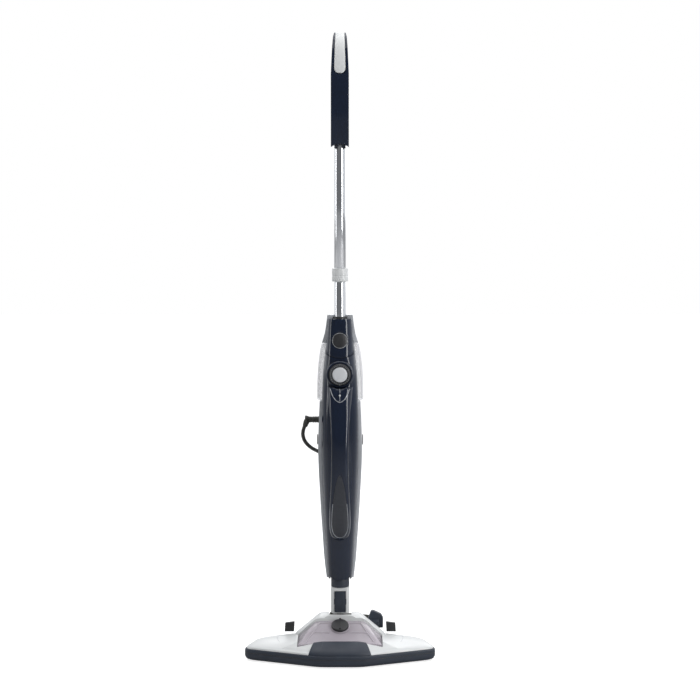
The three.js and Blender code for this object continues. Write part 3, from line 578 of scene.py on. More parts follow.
def lead_out():
    """From the coil's innermost top turn up, straight off over the turns and round into the plug's rear."""
    turn, first, straight, last = 28.6, 8, 5, 13
    top = CORD_D / 2 + 0.1 + 3 * CORD_D
    leave = math.pi / 2 - math.atan2(COIL_Y - PLUG_Y - turn, PLUG_X - COIL_X)
    points = []
    for i in range(1, first + 1):
        a = math.pi + (leave - math.pi) * i / first
        z = top - CORD_D + (CORD_D + 0.1) * ease(i / first / 0.66)
        points.append((COIL_X + turn * math.cos(a), COIL_Y + turn * math.sin(a), z))
    begin = Vector(points[-1])
    end = Vector((PLUG_X + turn * math.cos(leave), PLUG_Y + turn + turn * math.sin(leave), top + 0.1))
    points += [tuple(begin.lerp(end, i / straight)) for i in range(1, straight)]
    for i in range(last + 1):
        a = leave - (leave + math.pi / 2) * i / last
        z = top + 0.1 + (PLUG_Z - top - 0.1) * ease(i / last)
        points.append((PLUG_X + turn * math.cos(a), PLUG_Y + turn + turn * math.sin(a), z))
    return points


def make_cord():
    points = [tuple(p) for p in spline(ROUTE, False, 2)] + coil_points() + lead_out()
    cord = wire("mains_cord", points, CORD_D)
    cord.data.materials.append(FINISH["cord_rubber"])
    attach(cord, "body")
    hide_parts("cord_run", "cord_coil")
    return cord


cord = make_cord()

# ---------------------------------------------------------------- more helpers


def twin(obj, name):
    return shown(name, obj.data.copy())


def refined(node, name, width=0.4, angle=32, segments=2):
    """A welded copy of a CAD node with its edges rounded."""
    made = twin(nodes[node], name)
    with editing(made.data) as bm:
        bmesh.ops.remove_doubles(bm, verts=bm.verts, dist=2e-6)
        bmesh.ops.recalc_face_normals(bm, faces=bm.faces)
    if made.data.has_custom_normals:
        made.data.attributes.remove(made.data.attributes["custom_normal"])
    return round_edges(made, width, angle, segments)


SLOT_OF = {part["node"]: part["material_slot"] for part in frame["record"]["subparts"]}
BODY_OF = {node: body for body, held in frame["record"]["behaviour"]["bodies"].items() for node in held}


def refine(node, width=0.4, angle=32, segments=2):
    """Stands a rounded copy in for one CAD node."""
    return put(refined(node, node + "_piece", width, angle, segments), BODY_OF[node], SLOT_OF[node], node)


# ---------------------------------------------------------------- the body's shells

# Height, half-width of the rear shell, half-width of the front shell, reach to the front and to the back.
BODY = [
    (142, 25.5, 22, -8, 40), (180, 29.8, 24.6, -14, 46), (219, 32.5, 27.2, -19, 52),
    (288, 37, 31.2, -25, 62), (379, 41, 34.4, -28, 70), (440, 39.6, 34.4, -28, 71),
    (476, 38, 33.4, -27, 69), (529, 37, 31, -25, 66), (562, 35.5, 27.6, -20, 62),
    (584, 33.5, 25.6, -16, 58), (604, 28, 24, -13, 50), (636, 23.5, 21.2, -8, 40),
]
REAR, FRONT, NEAR, FAR = 1, 2, 3, 4
SQUARE = 2.5


def body_form(name, which, shrink=0.0, low=142, high=636, size=7, count=96):
    return loft(name, [oval(z, PARTING_Y, between(BODY, which, z) - shrink, between(BODY, NEAR, z) + shrink,
                            between(BODY, FAR, z) - shrink, SQUARE, count) for z in steps(low, high, size)])


def above_seam(name, lift):
    edge = SEAM_Z + SEAM_RISE * 2.6 + lift
    dip = 2 * (SEAM_Z + lift) - edge
    curve = [(-45 + 90 * t, (1 - t) ** 2 * edge + 2 * t * (1 - t) * dip + t**2 * edge)
             for t in steps(0, 1, 1 / 40)]
    return slab(name, curve + [(45, 700), (-45, 700)], -60, 60)


def front_disc(name, r, low, high, z):
    return rod(name, r, low, high, (0, 0, z), FRONTWARD, 80)


def on_axis(name, r, low, high):
    return rod(name, r, low, high, (0, AXIS_Y, 0), (0, 0, 0), 72)


def make_front():
    skin = body_form("front_shell_piece", FRONT)
    keep(skin, block("ahead", -90, 90, -200, PARTING_Y - GAP / 2, 0, 1300))
    cut(skin, body_form("inside", FRONT, WALL, 145.5, 625, 14, 64))
    cover = twin(skin, "neck_cover_piece")
    cut(skin, above_seam("above", -0.45), front_disc("dial_hole", DIAL_R + GAP, -5, 60, DIAL_Z),
        on_axis("nozzle_hole", 17, 100, 150))
    for side in (-1, 1):
        cut(skin, block("notch", side * 16.5 - 1.8, side * 16.5 + 1.8, -20, 10, 130, 145))
    put(round_edges(skin, 0.5), "body", "navy_gloss", "front_shell")
    keep(cover, above_seam("above", 0.45))
    keep(cover, block("under_rim", -90, 90, -90, 90, 500, 629))
    cut(cover, front_disc("badge_hole", BADGE_R + GAP, 0, 60, BADGE_Z),
        on_axis("socket_hole", SOCKET_R + GAP, 600, 700))
    put(round_edges(cover, 0.5), "body", "navy_gloss", "neck_cover")


def make_badge():
    badge = front_disc("badge_piece", BADGE_R, 0, 60, BADGE_Z)
    keep(badge, body_form("sheet", FRONT, -0.5, 560, 625, 3))
    cut(badge, body_form("core", FRONT, 2, 555, 630, 5))
    put(round_edges(badge, 0.35), "body", "charcoal_plastic", "badge")
    rim = []
    for i in range(72):
        a = 2 * math.pi * i / 72
        x = (BADGE_R - 0.9) * math.cos(a)
        z = BADGE_Z + (BADGE_R - 0.9) * math.sin(a)
        rim.append((x, front_face(x, z) - 0.55, z))
    trim(wire("badge_rim", rim, 0.6, True), "silver_plastic", "body")


def front_face(x, z):
    """How far forward the front shell reaches at a place."""
    half, near = between(BODY, FRONT, z), between(BODY, NEAR, z)
    return PARTING_Y - (PARTING_Y - near) * (1 - (abs(x) / half) ** SQUARE) ** (1 / SQUARE)


def trim(curve, slot, body):
    """A thin raised line; it becomes a mesh."""
    graph = bpy.context.evaluated_depsgraph_get()
    mesh = bpy.data.meshes.new_from_object(curve.evaluated_get(graph))
    name = curve.name
    bpy.data.objects.remove(curve)
    made = shown(name, mesh)
    return put(made, body, slot)


TANK_BOTTOM, TANK_TOP = 476.5, 582.5
BAY_BOTTOM, BAY_TOP, BAY_BACK = 475, 584, 31
PORT_Z, CAP_Z = 486, 545


def bay(name, grow):
    room = block(name, -90, 90, 0, 200, BAY_BOTTOM - grow, BAY_TOP + grow)
    core = body_form("core", FRONT, grow - 0.5, 440, 620, 7, 64)
    keep(core, block("core_room", -90, 90, -90, BAY_BACK - grow, 0, 700))
    return cut(room, core)


SCREW_HEIGHTS = (180, 300, 440)


def make_rear():
    shell = body_form("rear_shell_piece", REAR)
    keep(shell, block("behind", -90, 90, PARTING_Y + GAP / 2, 200, 0, 1300))
    cut(shell, bay("bay", 0))
    hollow = body_form("inside", FRONT, WALL, 145.5, 625, 14, 64)
    cut(hollow, bay("bay_wall", WALL))
    cut(shell, hollow, on_axis("socket_hole", SOCKET_R + GAP, 600, 700),
        on_axis("nozzle_hole", 17, 100, 150))
    cut(shell, rod("sleeve_hole", 6.4, 20, 60, (0, SLEEVE_Y, SLEEVE_Z), LEFTWARD),
        rod("port", 5.3, 15, 35, (0, 0, PORT_Z), BACKWARD),
        rod("lock_hole", 6.4, 20, 70, (0, 0, 612), BACKWARD))
    for z in SCREW_HEIGHTS:
        seat = between(BODY, FAR, z) - 1.6
        cut(shell, rod("counterbore", 3.5, 0, 30, (0, seat, z), BACKWARD, 32))
    for k in range(6):
        z = 338 + 7 * k
        cut(shell, block("vent", -14, 14, 63, 90, z, z + 2.4))
    put(round_edges(shell, 0.5), "body", "silver_plastic", "rear_shell")


TANK = [(476.5, 43.2, 73), (484, 43.4, 75), (529, 42, 76), (562, 38.6, 74.5), (576, 36, 72),
        (582.5, 34, 68)]


def tank_form(name, shrink):
    levels = steps(TANK_BOTTOM + shrink, TANK_TOP - shrink, 5)
    return loft(name, [oval(z, 47, between(TANK, 1, z) - shrink, 18 + shrink, between(TANK, 2, z) - shrink,
                            4.5, 96)
                       for z in levels])


def tank_core(name, grow):
    core = body_form(name, FRONT, -1.2 - grow, 440, 620, 7, 64)
    return keep(core, block("core_room", -90, 90, -90, BAY_BACK + 1 + grow, 0, 700))


def make_water_tank():
    tank = tank_form("water_tank_piece", 0)
    cut(tank, tank_core("core", 0))
    round_edges(tank, 1.6, 50, 3)
    hollow = tank_form("hollow", 2.2)
    cut(hollow, tank_core("inner_core", 2.2))
    cut(tank, hollow, rod("mouth", 9, 66, 90, (0, 0, CAP_Z), BACKWARD, 48),
        rod("outlet", 5, 20, 40, (0, 0, PORT_Z), BACKWARD, 32))
    put(tank, "water_tank", "clear_plastic", "water_tank")
    back = between(TANK, 2, 529) + GAP
    cap = lathe("tank_cap_piece", [(0, -6), (8.5, -6), (8.5, 0), (12.4, 0), (13, 0.5), (13, 3.2),
                                   (12.4, 4.2), (11.2, 4.6), (0, 4.6)],
                (0, back, CAP_Z), BACKWARD)
    join(cap, block("grip", -11, 11, back + 3.6, back + 7, CAP_Z - 1.6, CAP_Z + 1.6))
    put(round_edges(cap, 0.5), "tank_cap", "charcoal_plastic", "tank_cap")
    for k in range(3):
        z = 500 + 18 * k
        width = 12 if k % 2 else 18
        marks = block(f"level_mark_{k + 1}", -width / 2, width / 2, 75.2, 76.2, z, z + 1)
        put(round_edges(marks, 0.2), "water_tank", "charcoal_plastic")


# ---------------------------------------------------------------- the carry handle and the controls

# Height, half-width, front and back.
BAR = [
    (219, 2, -21, -8), (222, 11, -25, -9), (231, 17, -34, -12), (250, 19.6, -48, -16),
    (272, 19.4, -58, -28), (292, 18.4, -64, -45), (325, 16.6, -68.5, -52), (365, 15.6, -70, -54),
    (405, 15.5, -69, -53), (440, 17, -65, -48), (465, 19.2, -59, -36), (482, 21.4, -53, -18),
    (506, 23.5, -42, -10),
]
BAR_SQUARE = 2.8


def bar_form(name, side=0.0, front=0.0, back=0.0):
    rings = []
    levels = steps(219, 231, 1.5) + steps(231, 292, 4)[1:] + steps(292, 506, 6)[1:]
    for z in levels:
        near, far = between(BAR, 2, z) + front, between(BAR, 3, z) + back
        rings.append(oval(z, (near + far) / 2, between(BAR, 1, z) + side, near, far, BAR_SQUARE, 72))
    return loft(name, rings)


def bar_face(x, z, proud=0.0):
    """How far forward the carry handle reaches at a place."""
    near, far, half = between(BAR, 2, z), between(BAR, 3, z), between(BAR, 1, z)
    bulge = (1 - (abs(x) / half) ** BAR_SQUARE) ** (1 / BAR_SQUARE)
    return (near + far) / 2 - (far - near) / 2 * bulge - proud


def drop_outline(grow, count=14):
    return (bezier((0, 350 + grow), (8 + grow, 345), (14.4 + grow, 290), (14.4 + grow, 254), count)
            + bezier((14.4 + grow, 254), (14.4 + grow, 236), (8, 227 - grow), (0, 227 - grow), count)
            + bezier((0, 227 - grow), (-8, 227 - grow), (-14.4 - grow, 236), (-14.4 - grow, 254), count)
            + bezier((-14.4 - grow, 254), (-14.4 - grow, 290), (-8 - grow, 345), (0, 350 + grow), count))


def shield_outline(grow, count=14):
    return (bezier((-18 - grow, 512), (-16 - grow, 492), (-7, 482 - grow), (0, 481.5 - grow), count)
            + bezier((0, 481.5 - grow), (7, 482 - grow), (16 + grow, 492), (18 + grow, 512),
                     count) + [(18 + grow, 512)])


def make_carry_handle():
    bar = bar_form("carry_handle_piece")
    cut(bar, body_form("clearance", FRONT, -GAP, 180, 560, 7, 64),
        front_disc("near_dial", DIAL_R + 2 * GAP, -20, 80, DIAL_Z))
    for outline in (drop_outline(GAP), shield_outline(GAP)):
        cut(bar, cut(slab("pocket", outline, -110, -26), bar_form("floor", 12, 2.6, 40)))
    put(round_edges(bar, 0.5), "body", "navy_gloss", "carry_handle")
    insert = slab("grip_insert_piece", drop_outline(0), -110, -26)
    keep(insert, bar_form("face", 0, -0.4))
    cut(insert, bar_form("floor", 12, 2.3, 40))
    put(round_edges(insert, 0.4), "body", "charcoal_plastic", "grip_insert")
    insert.data.materials[0] = ribbed("grip_ribs", (0.03, 0.033, 0.042), 0.0026, "Z", 0.4)
    shield = slab("indicator_shield_piece", shield_outline(0), -110, -26)
    keep(shield, bar_form("face", 0, -0.4))
    cut(shield, bar_form("floor", 12, 2.3, 40), front_disc("near_dial", DIAL_R + 2 * GAP, -20, 80, DIAL_Z))
    put(round_edges(shield, 0.3), "body", "navy_gloss", "indicator_shield")
    edge = [(x, bar_face(x, z, 0.3), z) for x, z in shield_outline(0.9, 20)
            if z < 505.5 and abs(x) < between(BAR, 1, z) - 1]
    trim(wire("shield_trim", edge, 1.1), "silver_plastic", "body")
    # A silver wire round the lower end of the grip insert: a painted highlight standing in for the lit rim
    # at the bottom of the carry handle.
    lower = [(x, bar_face(x, z, 0.25), z) for x, z in drop_outline(0.6, 20) if z < 300]
    trim(wire("painted_rim_highlight", lower, 0.8), "silver_plastic", "body")
    for place, low, high in (("low", 482.5, 490), ("high", 496, 504)):
        centre = [(0, bar_face(0, z, 0.35), z) for z in steps(low, high, 2)]
        trim(wire("shield_line_" + place, centre, 0.7), "silver_plastic", "body")
    lens = lathe("indicator_lens_piece", [(0, 45.5), (1.6, 45.5), (1.6, 49.9), (1.3, 50.3), (0.7, 50.7),
                                          (0, 50.8)],
                 (0, 0, LENS_Z), FRONTWARD, 32)
    lens.location.y -= 0.006
    bpy.context.view_layer.update()
    put(lens, "body", "white_plastic", "indicator_lens")


def make_dial():
    at = (0, 0, DIAL_Z)
    bezel = lathe("dial_bezel_piece", [(20.4, 8), (25, 8), (25, 30.2), (24.8, 31.4), (24.2, 32.5),
                                       (23.2, 33.2), (22, 33.5), (21.1, 33.4), (20.6, 33), (20.4, 32.4)],
                                       at, FRONTWARD, 96)
    put(bezel, "body", "navy_gloss", "dial_bezel")
    dial = lathe("steam_dial_piece", [(14.2, 12), (20, 12), (20, 34.6), (19.8, 35.8), (19.2, 36.8),
                                      (18.3, 37.4), (17.2, 37.6), (16, 37.5), (15, 37.3), (14.4, 36.9),
                                      (14.2, 36.3)], at, FRONTWARD, 96)
    put(dial, "steam_dial", "charcoal_plastic", "steam_dial")
    ticks = []
    for k in range(30):
        a = 2 * math.pi * k / 30
        long = 1.9 if k % 5 else 3.0
        spin = Matrix.Rotation(a, 4, "Y")
        corners = [(x, y, z) for z in (16.2, 16.2 + long) for y in (-37.9, -37.2) for x in (-0.28, 0.28)]
        ticks.append([tuple(spin @ Vector(c) + Vector(at)) for c in corners])
    verts = [v for tick in ticks for v in tick]
    faces = [tuple(8 * k + i for i in side) for k in range(len(ticks)) for side in BOX_FACES]
    put(make("dial_ticks", verts, faces), "steam_dial", "silver_plastic")
    button = lathe("steam_button_piece", [(0, 17), (13.8, 17), (13.8, 37), (13.5, 38), (12.7, 38.9),
                                          (11.6, 39.3), (10.9, 39.2), (10.5, 39.35), (6, 39.9), (0, 40.1)],
                                          at, FRONTWARD, 96)
    put(button, "steam_button", "silver_plastic", "steam_button")
    button.data.materials[0] = FINISH["button_face"]


# ---------------------------------------------------------------- pole and loop handle


def make_pole():
    for name, low, high, body in (("lower_tube", 556, 709.85, "lower_pole"),
                                  ("upper_tube", 710.15, 984, "upper_pole")):
        tube = lathe(name + "_piece", [(TUBE_R - 1.2, low), (TUBE_R - 0.2, low), (TUBE_R, low + 0.3),
                                       (TUBE_R, high - 0.3), (TUBE_R - 0.2, high), (TUBE_R - 1.2, high)],
                                       (0, AXIS_Y, 0), (0, 0, 0), 96)
        put(tube, body, "chrome", name)
    ring = lathe("pole_collar_piece", [(TUBE_R + 0.3, 698), (14, 698), (14.6, 698.3), (14.75, 699),
                                       (14.75, 706.5), (14.3, 707), (14.3, 709), (14.75, 709.5),
                                       (14.75, 721), (14.6, 721.7), (14, 722), (TUBE_R + 0.3, 722)],
                 (0, AXIS_Y, 0), (0, 0, 0), 96)
    put(ring, "lower_pole", "white_plastic", "pole_collar")


LOOP_OUTER = [
    (-1.5, 944), (-1.8, 1000), (-1.5, 1066), (1, 1100), (8, 1127), (20, 1146), (38, 1156), (54, 1157),
    (72, 1149), (86, 1130), (93.5, 1106), (94.8, 1080), (90, 1048), (78, 1018), (60, 994), (42, 976),
    (33, 960), (31.5, 944),
]
LOOP_INNER = [
    (35, 1080), (38, 1104), (46, 1121), (56, 1124), (65, 1114), (69.5, 1094), (69.5, 1072), (63, 1044),
    (50, 1020), (39, 1006), (35, 1012), (34, 1046),
]


def inset(points, distance):
    """A closed outline that runs clockwise, moved inwards along its normals."""
    made = []
    for i, (x, y) in enumerate(points):
        (xa, ya), (xb, yb) = points[i - 1], points[(i + 1) % len(points)]
        size = math.hypot(xb - xa, yb - ya)
        made.append((x + (yb - ya) / size * distance, y - (xb - xa) / size * distance))
    return made


def strip_outline(grow):
    return [(-10.2 - grow, 1088), (-9.6 - grow / 2, 1082 - grow / 2), (-7 - grow / 3, 1078.4 - grow),
            (-3.5, 1077 - grow), (3.5, 1077 - grow), (7 + grow / 3, 1078.4 - grow),
            (9.6 + grow / 2, 1082 - grow / 2), (10.2 + grow, 1088), (9.6 + grow, 1110), (8.6 + grow, 1140),
            (7.6 + grow, 1165), (-7.6 - grow, 1165), (-8.6 - grow, 1140), (-9.6 - grow, 1110)]


def handle_body(name):
    outer = spline(LOOP_OUTER, False, 5)
    loop = rail(name, outer, 30)
    right = [(16.5, 938), (16.5, 1074), (15.4, 1100), (14.2, 1125), (12.6, 1146), (9.4, 1158), (7, 1160)]
    keep(loop, slab("silhouette", [(-x, z) for x, z in right] + right[::-1], -40, 140))
    cut(loop, rail("finger_room", spline(LOOP_INNER, True, 6), 40))

    def along(edge):
        a, b = edge.verts
        middle = (a.co + b.co) / 2
        return abs(middle.x) > 0.006 and middle.z > 0.9445

    return round_edges(loop, 4.2, 45, 5, along)


def make_loop_handle():
    outer = spline(LOOP_OUTER, False, 5)
    loop = handle_body("handle_rear_piece")
    inlay = twin(loop, "handle_insert_piece")
    curve = [(x, 944 + 5.5 * (1 - (x / 15.2) ** 2)) for x in steps(-15.2, 15.2, 1.6)]
    arch = [(-18, 930)] + curve + [(18, 930)]
    cut(loop, on_axis("bore", TUBE_R + GAP, 900, 985), slab("arch", arch, -20, 60))
    cut(loop, cut(slab("pocket", strip_outline(GAP), -40, 62.3), rail("floor", inset(outer, 3.4), 40)))
    step = [(x, z) for x, z in strip_outline(2.6) if z < 1100] + [(12, 1092), (-12, 1092)]
    cut(loop, cut(slab("step", step, -40, 20), rail("step_floor", inset(outer, 1.3), 40)))
    front = twin(loop, "handle_front_piece")
    keep(front, block("ahead", -60, 60, -60, 13 - 0.2, 900, 1200))
    put(round_edges(front, 0.35, 40), "upper_pole", "navy_gloss", "handle_front")
    keep(loop, block("behind", -60, 60, 13 + 0.2, 160, 900, 1200))
    cut(loop, rod("screw_hole", 3.5, 0, 30, (0, 28, 958), BACKWARD, 32))
    put(round_edges(loop, 0.35, 40), "upper_pole", "navy_gloss", "handle_rear")
    keep(inlay, slab("strip", strip_outline(0), -40, 62))
    cut(inlay, rail("floor", inset(outer, 3.1), 40))
    put(round_edges(inlay, 0.35, 40), "upper_pole", "white_plastic", "handle_insert")
    refine("handle_screw", 0.3)


# ---------------------------------------------------------------- the floor head

HEAD_CORNERS = [(40, -95), (180, -46), (157, 16), (46, 65), (-46, 65), (-157, 16), (-180, -46), (-40, -95)]


def rounded(points, reach, fine=4):
    """An outline with its corners rounded over a reach."""
    made = []
    n = len(points)
    for i, p in enumerate(points):
        p, before, after = Vector(p), Vector(points[i - 1]), Vector(points[(i + 1) % n])
        start = p.lerp(before, min(reach, (p - before).length * 0.45) / (p - before).length)
        end = p.lerp(after, min(reach, (p - after).length * 0.45) / (p - after).length)
        for k in range(fine + 1):
            t = k / fine
            q = start * (1 - t) ** 2 + p * 2 * t * (1 - t) + end * t * t
            made.append((q.x, q.y))
    return made


def head_ring(z, distance, rounding, fine=9):
    """The head's outline at a height, shrunk evenly, its corners rounded."""
    n = len(HEAD_CORNERS)
    corners = []
    for i, p in enumerate(HEAD_CORNERS):
        p = Vector(p)
        a = (p - Vector(HEAD_CORNERS[i - 1])).normalized()
        b = (Vector(HEAD_CORNERS[(i + 1) % n]) - p).normalized()
        in_a, in_b = Vector((-a.y, a.x)), Vector((-b.y, b.x))
        middle = (in_a + in_b).normalized()
        corners.append(p + middle * (distance / middle.dot(in_a)))
    return [(x, y, z) for x, y in rounded(corners, rounding, fine)]


def head_form(name, levels, fine=4):
    """A skin over (height, inset, rounding) levels, smooth between them."""
    return loft(name, [head_ring(*level) for level in spline(levels, False, fine)])


def ridge(name, sections, base, fine=6, reach=3.0):
    """A raised form: a row of rounded trapezoids along Y, each (y, foot, crest, top)."""
    rings = []
    for y, foot, crest, top in spline(sections, False, fine):
        low = base + (top - base) * 0.15
        high = top - min(4, (top - base) * 0.4)
        edge = [(foot, base), (foot, low), (crest + 3, high), (crest - 2, top - 0.8), (crest - 9, top)]
        outline = edge + [(-x, z) for x, z in reversed(edge)]
        rings.append([(x, y, z) for x, z in rounded(outline, reach)])
    return loft(name, rings)


HUMP = [(-8, 86, 46, 69), (4, 86, 42, 72), (26, 84, 39, 72), (42, 78, 37, 62), (60, 62, 36, 36)]
TILT_Z = 57
CLIP_X = 97
PEDAL_X = 66
SKIRT_TOP = 22


def apron(name, foot, grow):
    """The rise from the bumper to the front edge of the detergent tank."""
    rise = loft(name, [head_ring(foot, 3.4 - grow, 16), head_ring(24 + grow, 4.4 - grow, 16),
                       head_ring(30 + grow, 11 - grow, 18), head_ring(38 + grow, 24 - grow, 18)])
    top = 38.5 + grow
    ends = [(-106, 10), (-106, 28 + grow), (-79, top), (79, top), (106, 28 + grow), (106, 10)]
    return keep(rise, slab("ends", ends, -95, -9.3))


def make_head_shell():
    shell = head_form("head_shell_piece", [(22.3, 2.5, 16), (23.6, 2.9, 16), (25.5, 4.5, 16),
                                           (28.5, 13, 20), (31, 30, 30), (32, 44, 30)])
    lip = slab("lip", [(-34, 62), (34, 62), (28, 71), (21, 74.2), (-21, 74.2), (-28, 71)], -7.8, -1.3)
    join(shell, ridge("hump", HUMP, 26), apron("apron", 22.31, 0), lip)
    cut(shell, head_form("under", [(20, 5, 14), (23.5, 7.5, 16), (26, 16, 20), (28, 34, 30)], 2))
    bowl = ridge("bowl", [(y, foot - 4, crest - 3, top - 3) for y, foot, crest, top in HUMP], 20)
    keep(bowl, block("bowl_room", -90, 90, -5.4, 55, 0, 90))
    cut(bowl, block("middle", -37, 37, -20, 80, 20, 90))
    cut(shell, block("pedal_slot", PEDAL_X - 9, PEDAL_X + 9, 49, 66, 20, 90))
    for side in (-1, 1):
        cut(shell, block("clip_room", side * CLIP_X - 9.6, side * CLIP_X + 9.6, 30, 43, 28, 60))
    cut(shell, bowl, block("channel", -21.3, 21.3, -1, 90, 44, 90),
        rod("pin_hole", 3.3, -31, 31, (0, AXIS_Y, TILT_Z), RIGHTWARD, 32),
        block("recess", -78.52, 78.52, -66.63, -8.13, 29.88, 90))
    put(round_edges(shell, 0.9, 38, 3), "head", "white_plastic", "head_shell", angle=28)
    for side in (-1, 1):
        line = [(side * x, y, dome_top(x, y) + 0.05)
                for x, y in spline([(112, -34), (116, -20), (118, -2), (114, 16)], False, 8)]
        trim(wire("panel_line_left" if side < 0 else "panel_line_right", line, 0.7), "silver_plastic",
             "head")


DOME = [(2.5, 22.3), (4.5, 25.5), (13, 28.5), (30, 31), (44, 32)]


def dome_top(x, y):
    """The dome's height at a place, from its distance to the head's outline."""
    n = len(HEAD_CORNERS)
    near = 1e9
    for i in range(n):
        a, b = Vector(HEAD_CORNERS[i]), Vector(HEAD_CORNERS[(i + 1) % n])
        along = (b - a).normalized()
        near = min(near, (Vector((x, y)) - a).dot(Vector((-along.y, along.x))))
    if near >= 44:
        return 32
    for (d0, z0), (d1, z1) in zip(DOME, DOME[1:]):
        if near <= d1:
            return z0 + (z1 - z0) * (near - d0) / (d1 - d0)
    return 32


def make_bumper():
    base = head_form("head_base_piece", [(1.6, 5, 16), (3, 2.6, 16), (5, 1.2, 16), (9, 0, 16), (14, 0, 16),
                                         (19, 0, 16), (21.2, 0.5, 16), (22, 1.6, 16)])
    upper = loft("upper_room", [head_ring(7.2, 4.5, 14), head_ring(40, 4.5, 14)])
    lower = loft("sole_room", [head_ring(-5, 8, 14), head_ring(4.8, 8, 14)])
    cut(base, upper, lower, rod("way", 6, 0, 20, (0, AXIS_Y, 0)))
    put(round_edges(base, 0.4, 40), "head", "navy_matte", "head_base")
    trim(wire("bumper_line", head_ring(15.4, -0.1, 16), 0.8, True), "charcoal_plastic", "head")


def make_front_plate():
    half = [(41, 42.4), (43.2, 42.2), (45, 41.6), (46.8, 40.7), (48.5, 39.4), (52.5, 33.5), (56, 26.5),
            (58, 21)]
    plate = loft("front_plate_piece", [head_ring(22.3, 2, 16), head_ring(25.6, 3, 16),
                                       head_ring(31.8, 9.6, 18), head_ring(42.6, 27.5, 18)])
    keep(plate, slab("outline", [(-x, z) for x, z in reversed(half)] + half, -96, -67))
    cut(plate, head_form("below", [(15, 2, 16), (22.29, 2.2, 16), (25.8, 4.2, 16), (28.8, 12.7, 20),
                                   (31.4, 29.7, 30)], 3),
        apron("apron_room", 15, GAP))
    put(round_edges(plate, 0.7, 38, 3), "head", "navy_matte", "front_plate")


TANK_FLOOR = 30.2
FILL_Y = -24
SLOPE = math.atan2(64 - 37.5, 66 - 8.6)
FILL_Z = 37.5 + (FILL_Y + 66) * math.tan(SLOPE)


def tank_sections(shrink):
    return [(-66 + shrink, 78 - shrink, 75 - shrink, 37.5 - shrink),
            (-8.6 - shrink, 78 - shrink, 46 - shrink, 64 - shrink)]


def tank_face(y):
    return 37.5 + (y + 66) * math.tan(SLOPE)


def make_detergent_tank():
    turn = (SLOPE, 0, 0)
    at = (0, FILL_Y, FILL_Z)
    tank = ridge("detergent_tank_piece", tank_sections(0), TANK_FLOOR, 1, 1.5)
    round_edges(tank, 1.4, 30, 3)
    join(tank, lathe("rim", [(0, -1), (15.4, -1), (15.4, 1.2), (15.1, 1.4), (0, 1.4)], at, turn))
    cut(tank, ridge("hollow", tank_sections(2), TANK_FLOOR + 2, 1, 1.5),
        rod("mouth", 11.8, -9, 5, at, turn))
    put(tank, "detergent_tank", "clear_plastic", "detergent_tank", angle=30)
    tank.data.materials[0] = FINISH["smoky_plastic"]
    rib_lines = [[(-62, -61), (-38, -14), (38, -14), (62, -61)], [(-54, -38), (-20, -38)],
                 [(20, -38), (54, -38)]]
    for k, line in enumerate(rib_lines):
        points = []
        for (xa, ya), (xb, yb) in zip(line, line[1:]):
            points += [(xa + (xb - xa) * i / 8, ya + (yb - ya) * i / 8) for i in range(9)]
        run = [(x, y, tank_face(y) + 0.1) for x, y in points]
        piece = trim(wire(f"tank_rib_{k + 1}", run, 1.5), "clear_plastic", "detergent_tank")
        piece.data.materials[0] = FINISH["rib_plastic"]
    cap = lathe("detergent_cap_piece", [(0, -6), (11.4, -6), (11.4, 1.7), (15.6, 1.7), (16, 2.1), (16, 5),
                                        (15.6, 5.9), (14.6, 6.6), (13, 6.9), (0, 7.4)], at, turn, 96)
    grip = block("grip", -1.8, 1.8, -13.8, 13.8, 5, 10)
    grip.rotation_euler = turn
    grip.location = [c * MM for c in at]
    bpy.context.view_layer.update()
    join(cap, grip)
    put(round_edges(cap, 0.5, 40), "detergent_cap", "charcoal_plastic", "detergent_cap")
    seat = lathe("cap_seat", [(15.5, 1.45), (17.6, 1.45), (18, 1.0), (17.8, 0.4), (15.5, 0.4)], at, turn,
                 96)
    put(seat, "detergent_tank", "clear_plastic")
    seat.data.materials[0] = FINISH["rib_plastic"]


# ---------------------------------------------------------------- plug, sleeve and tie


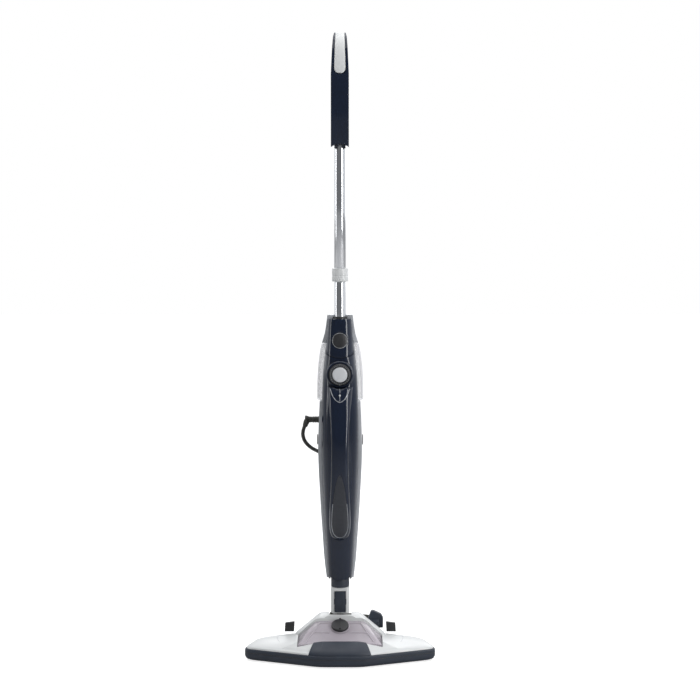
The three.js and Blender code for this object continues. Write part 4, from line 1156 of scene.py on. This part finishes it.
def make_cord_fittings():
    heights = [0, 3, 6, 12, 22, 32, 40, 44, 45]
    wide = [5.2, 6.6, 8, 12.4, 16.6, 18.3, 18.5, 18, 17.2]
    deep = [4.5, 5, 5.6, 6.6, 7.3, 7.5, 7.5, 7.2, 6.6]
    rings = []
    for h, w, d in spline(list(zip(heights, wide, deep)), False, 3):
        rings.append([(PLUG_X - h, PLUG_Y + v, PLUG_Z + u) for u, v, _ in oval(0, 0, d, -w, w, 3, 48)])
    plug = loft("plug_body", rings)
    for k in range(5):
        x = PLUG_X - 13 - 3.4 * k
        for side in (-1, 1):
            y0, y1 = sorted((PLUG_Y + side * (15.4 + 0.35 * k), PLUG_Y + side * 30))
            cut(plug, block("groove", x - 0.8, x + 0.8, y0, y1, PLUG_Z - 9, PLUG_Z + 9))
    put(round_edges(plug, 0.4, 40), "body", "cord_rubber", "plug")
    for side in (-1, 1):
        pin = lathe(f"plug_pin_{'left' if side < 0 else 'right'}",
                    [(0, 43), (2.4, 43), (2.4, 62), (2.1, 63.2), (1.3, 63.9), (0, 64)],
                    (PLUG_X, PLUG_Y + side * 9.5, PLUG_Z), LEFTWARD, 32)
        put(pin, "body", "steel")
    profile = [(0, 26.2), (8.8, 26.2), (8.8, 28), (8.4, 28.4), (6.1, 28.6)]
    for k in range(5):
        x = 31 + 4.4 * k
        profile += [(6.1 - 0.06 * k, x), (6.1 - 0.06 * k, x + 2.6), (5.2, x + 2.9), (5.2, x + 4.1)]
    profile += [(5.5, 54), (5.7, 58), (6.6, 60.5), (7.3, 61.8), (7.4, 62.4), (7.4, 65.4), (7.1, 65.9),
                (0, 66)]
    sleeve = lathe("strain_relief_piece", profile, (0, SLEEVE_Y, SLEEVE_Z), LEFTWARD, 64)
    put(round_edges(sleeve, 0.2, 50), "body", "cord_rubber", "strain_relief")
    start, end = Vector((-62.2, 27, 437)), Vector((-66.3, 27, 426))
    boot_turn = (end - start).to_track_quat("Z", "Y").to_euler()
    boot = lathe("cord_boot", [(3.6, 0), (5.6, 0), (5.4, 4), (4.9, 8.5), (4.3, 11.4), (3.9, 11.7),
                               (3.6, 11.7)], tuple(start),
                 tuple(boot_turn), 48)
    put(boot, "body", "cord_rubber")
    refine("cord_tie", 0.7)


make_front()
make_badge()
make_rear()
make_water_tank()
make_carry_handle()
make_dial()
make_pole()
make_loop_handle()
make_head_shell()
make_bumper()
make_front_plate()
make_detergent_tank()
make_cord_fittings()

ROUNDING = {"foot_pedal": 1.6, "neck_housing": 0.8, "latch_button": 0.7, "sole_plate": 0.3}
for node in ("nozzle_collar", "neck_housing", "latch_button", "swivel_block", "sole_plate",
             "shell_clip_left", "shell_clip_right", "lower_cord_hook", "upper_cord_hook",
             "pole_lock_button", "pole_socket", "foot_pedal", "pad_clip_left", "pad_clip_right",
             "shell_screw_1", "shell_screw_2", "shell_screw_3", "pump", "boiler", "circuit_board",
             "micro_switch", "tank_valve", "steam_manifold"):
    refine(node, ROUNDING.get(node, 0.5))

for name, node in nodes.items():
    for place in node.material_slots:
        place.material = FINISH[SLOT_OF[name]]
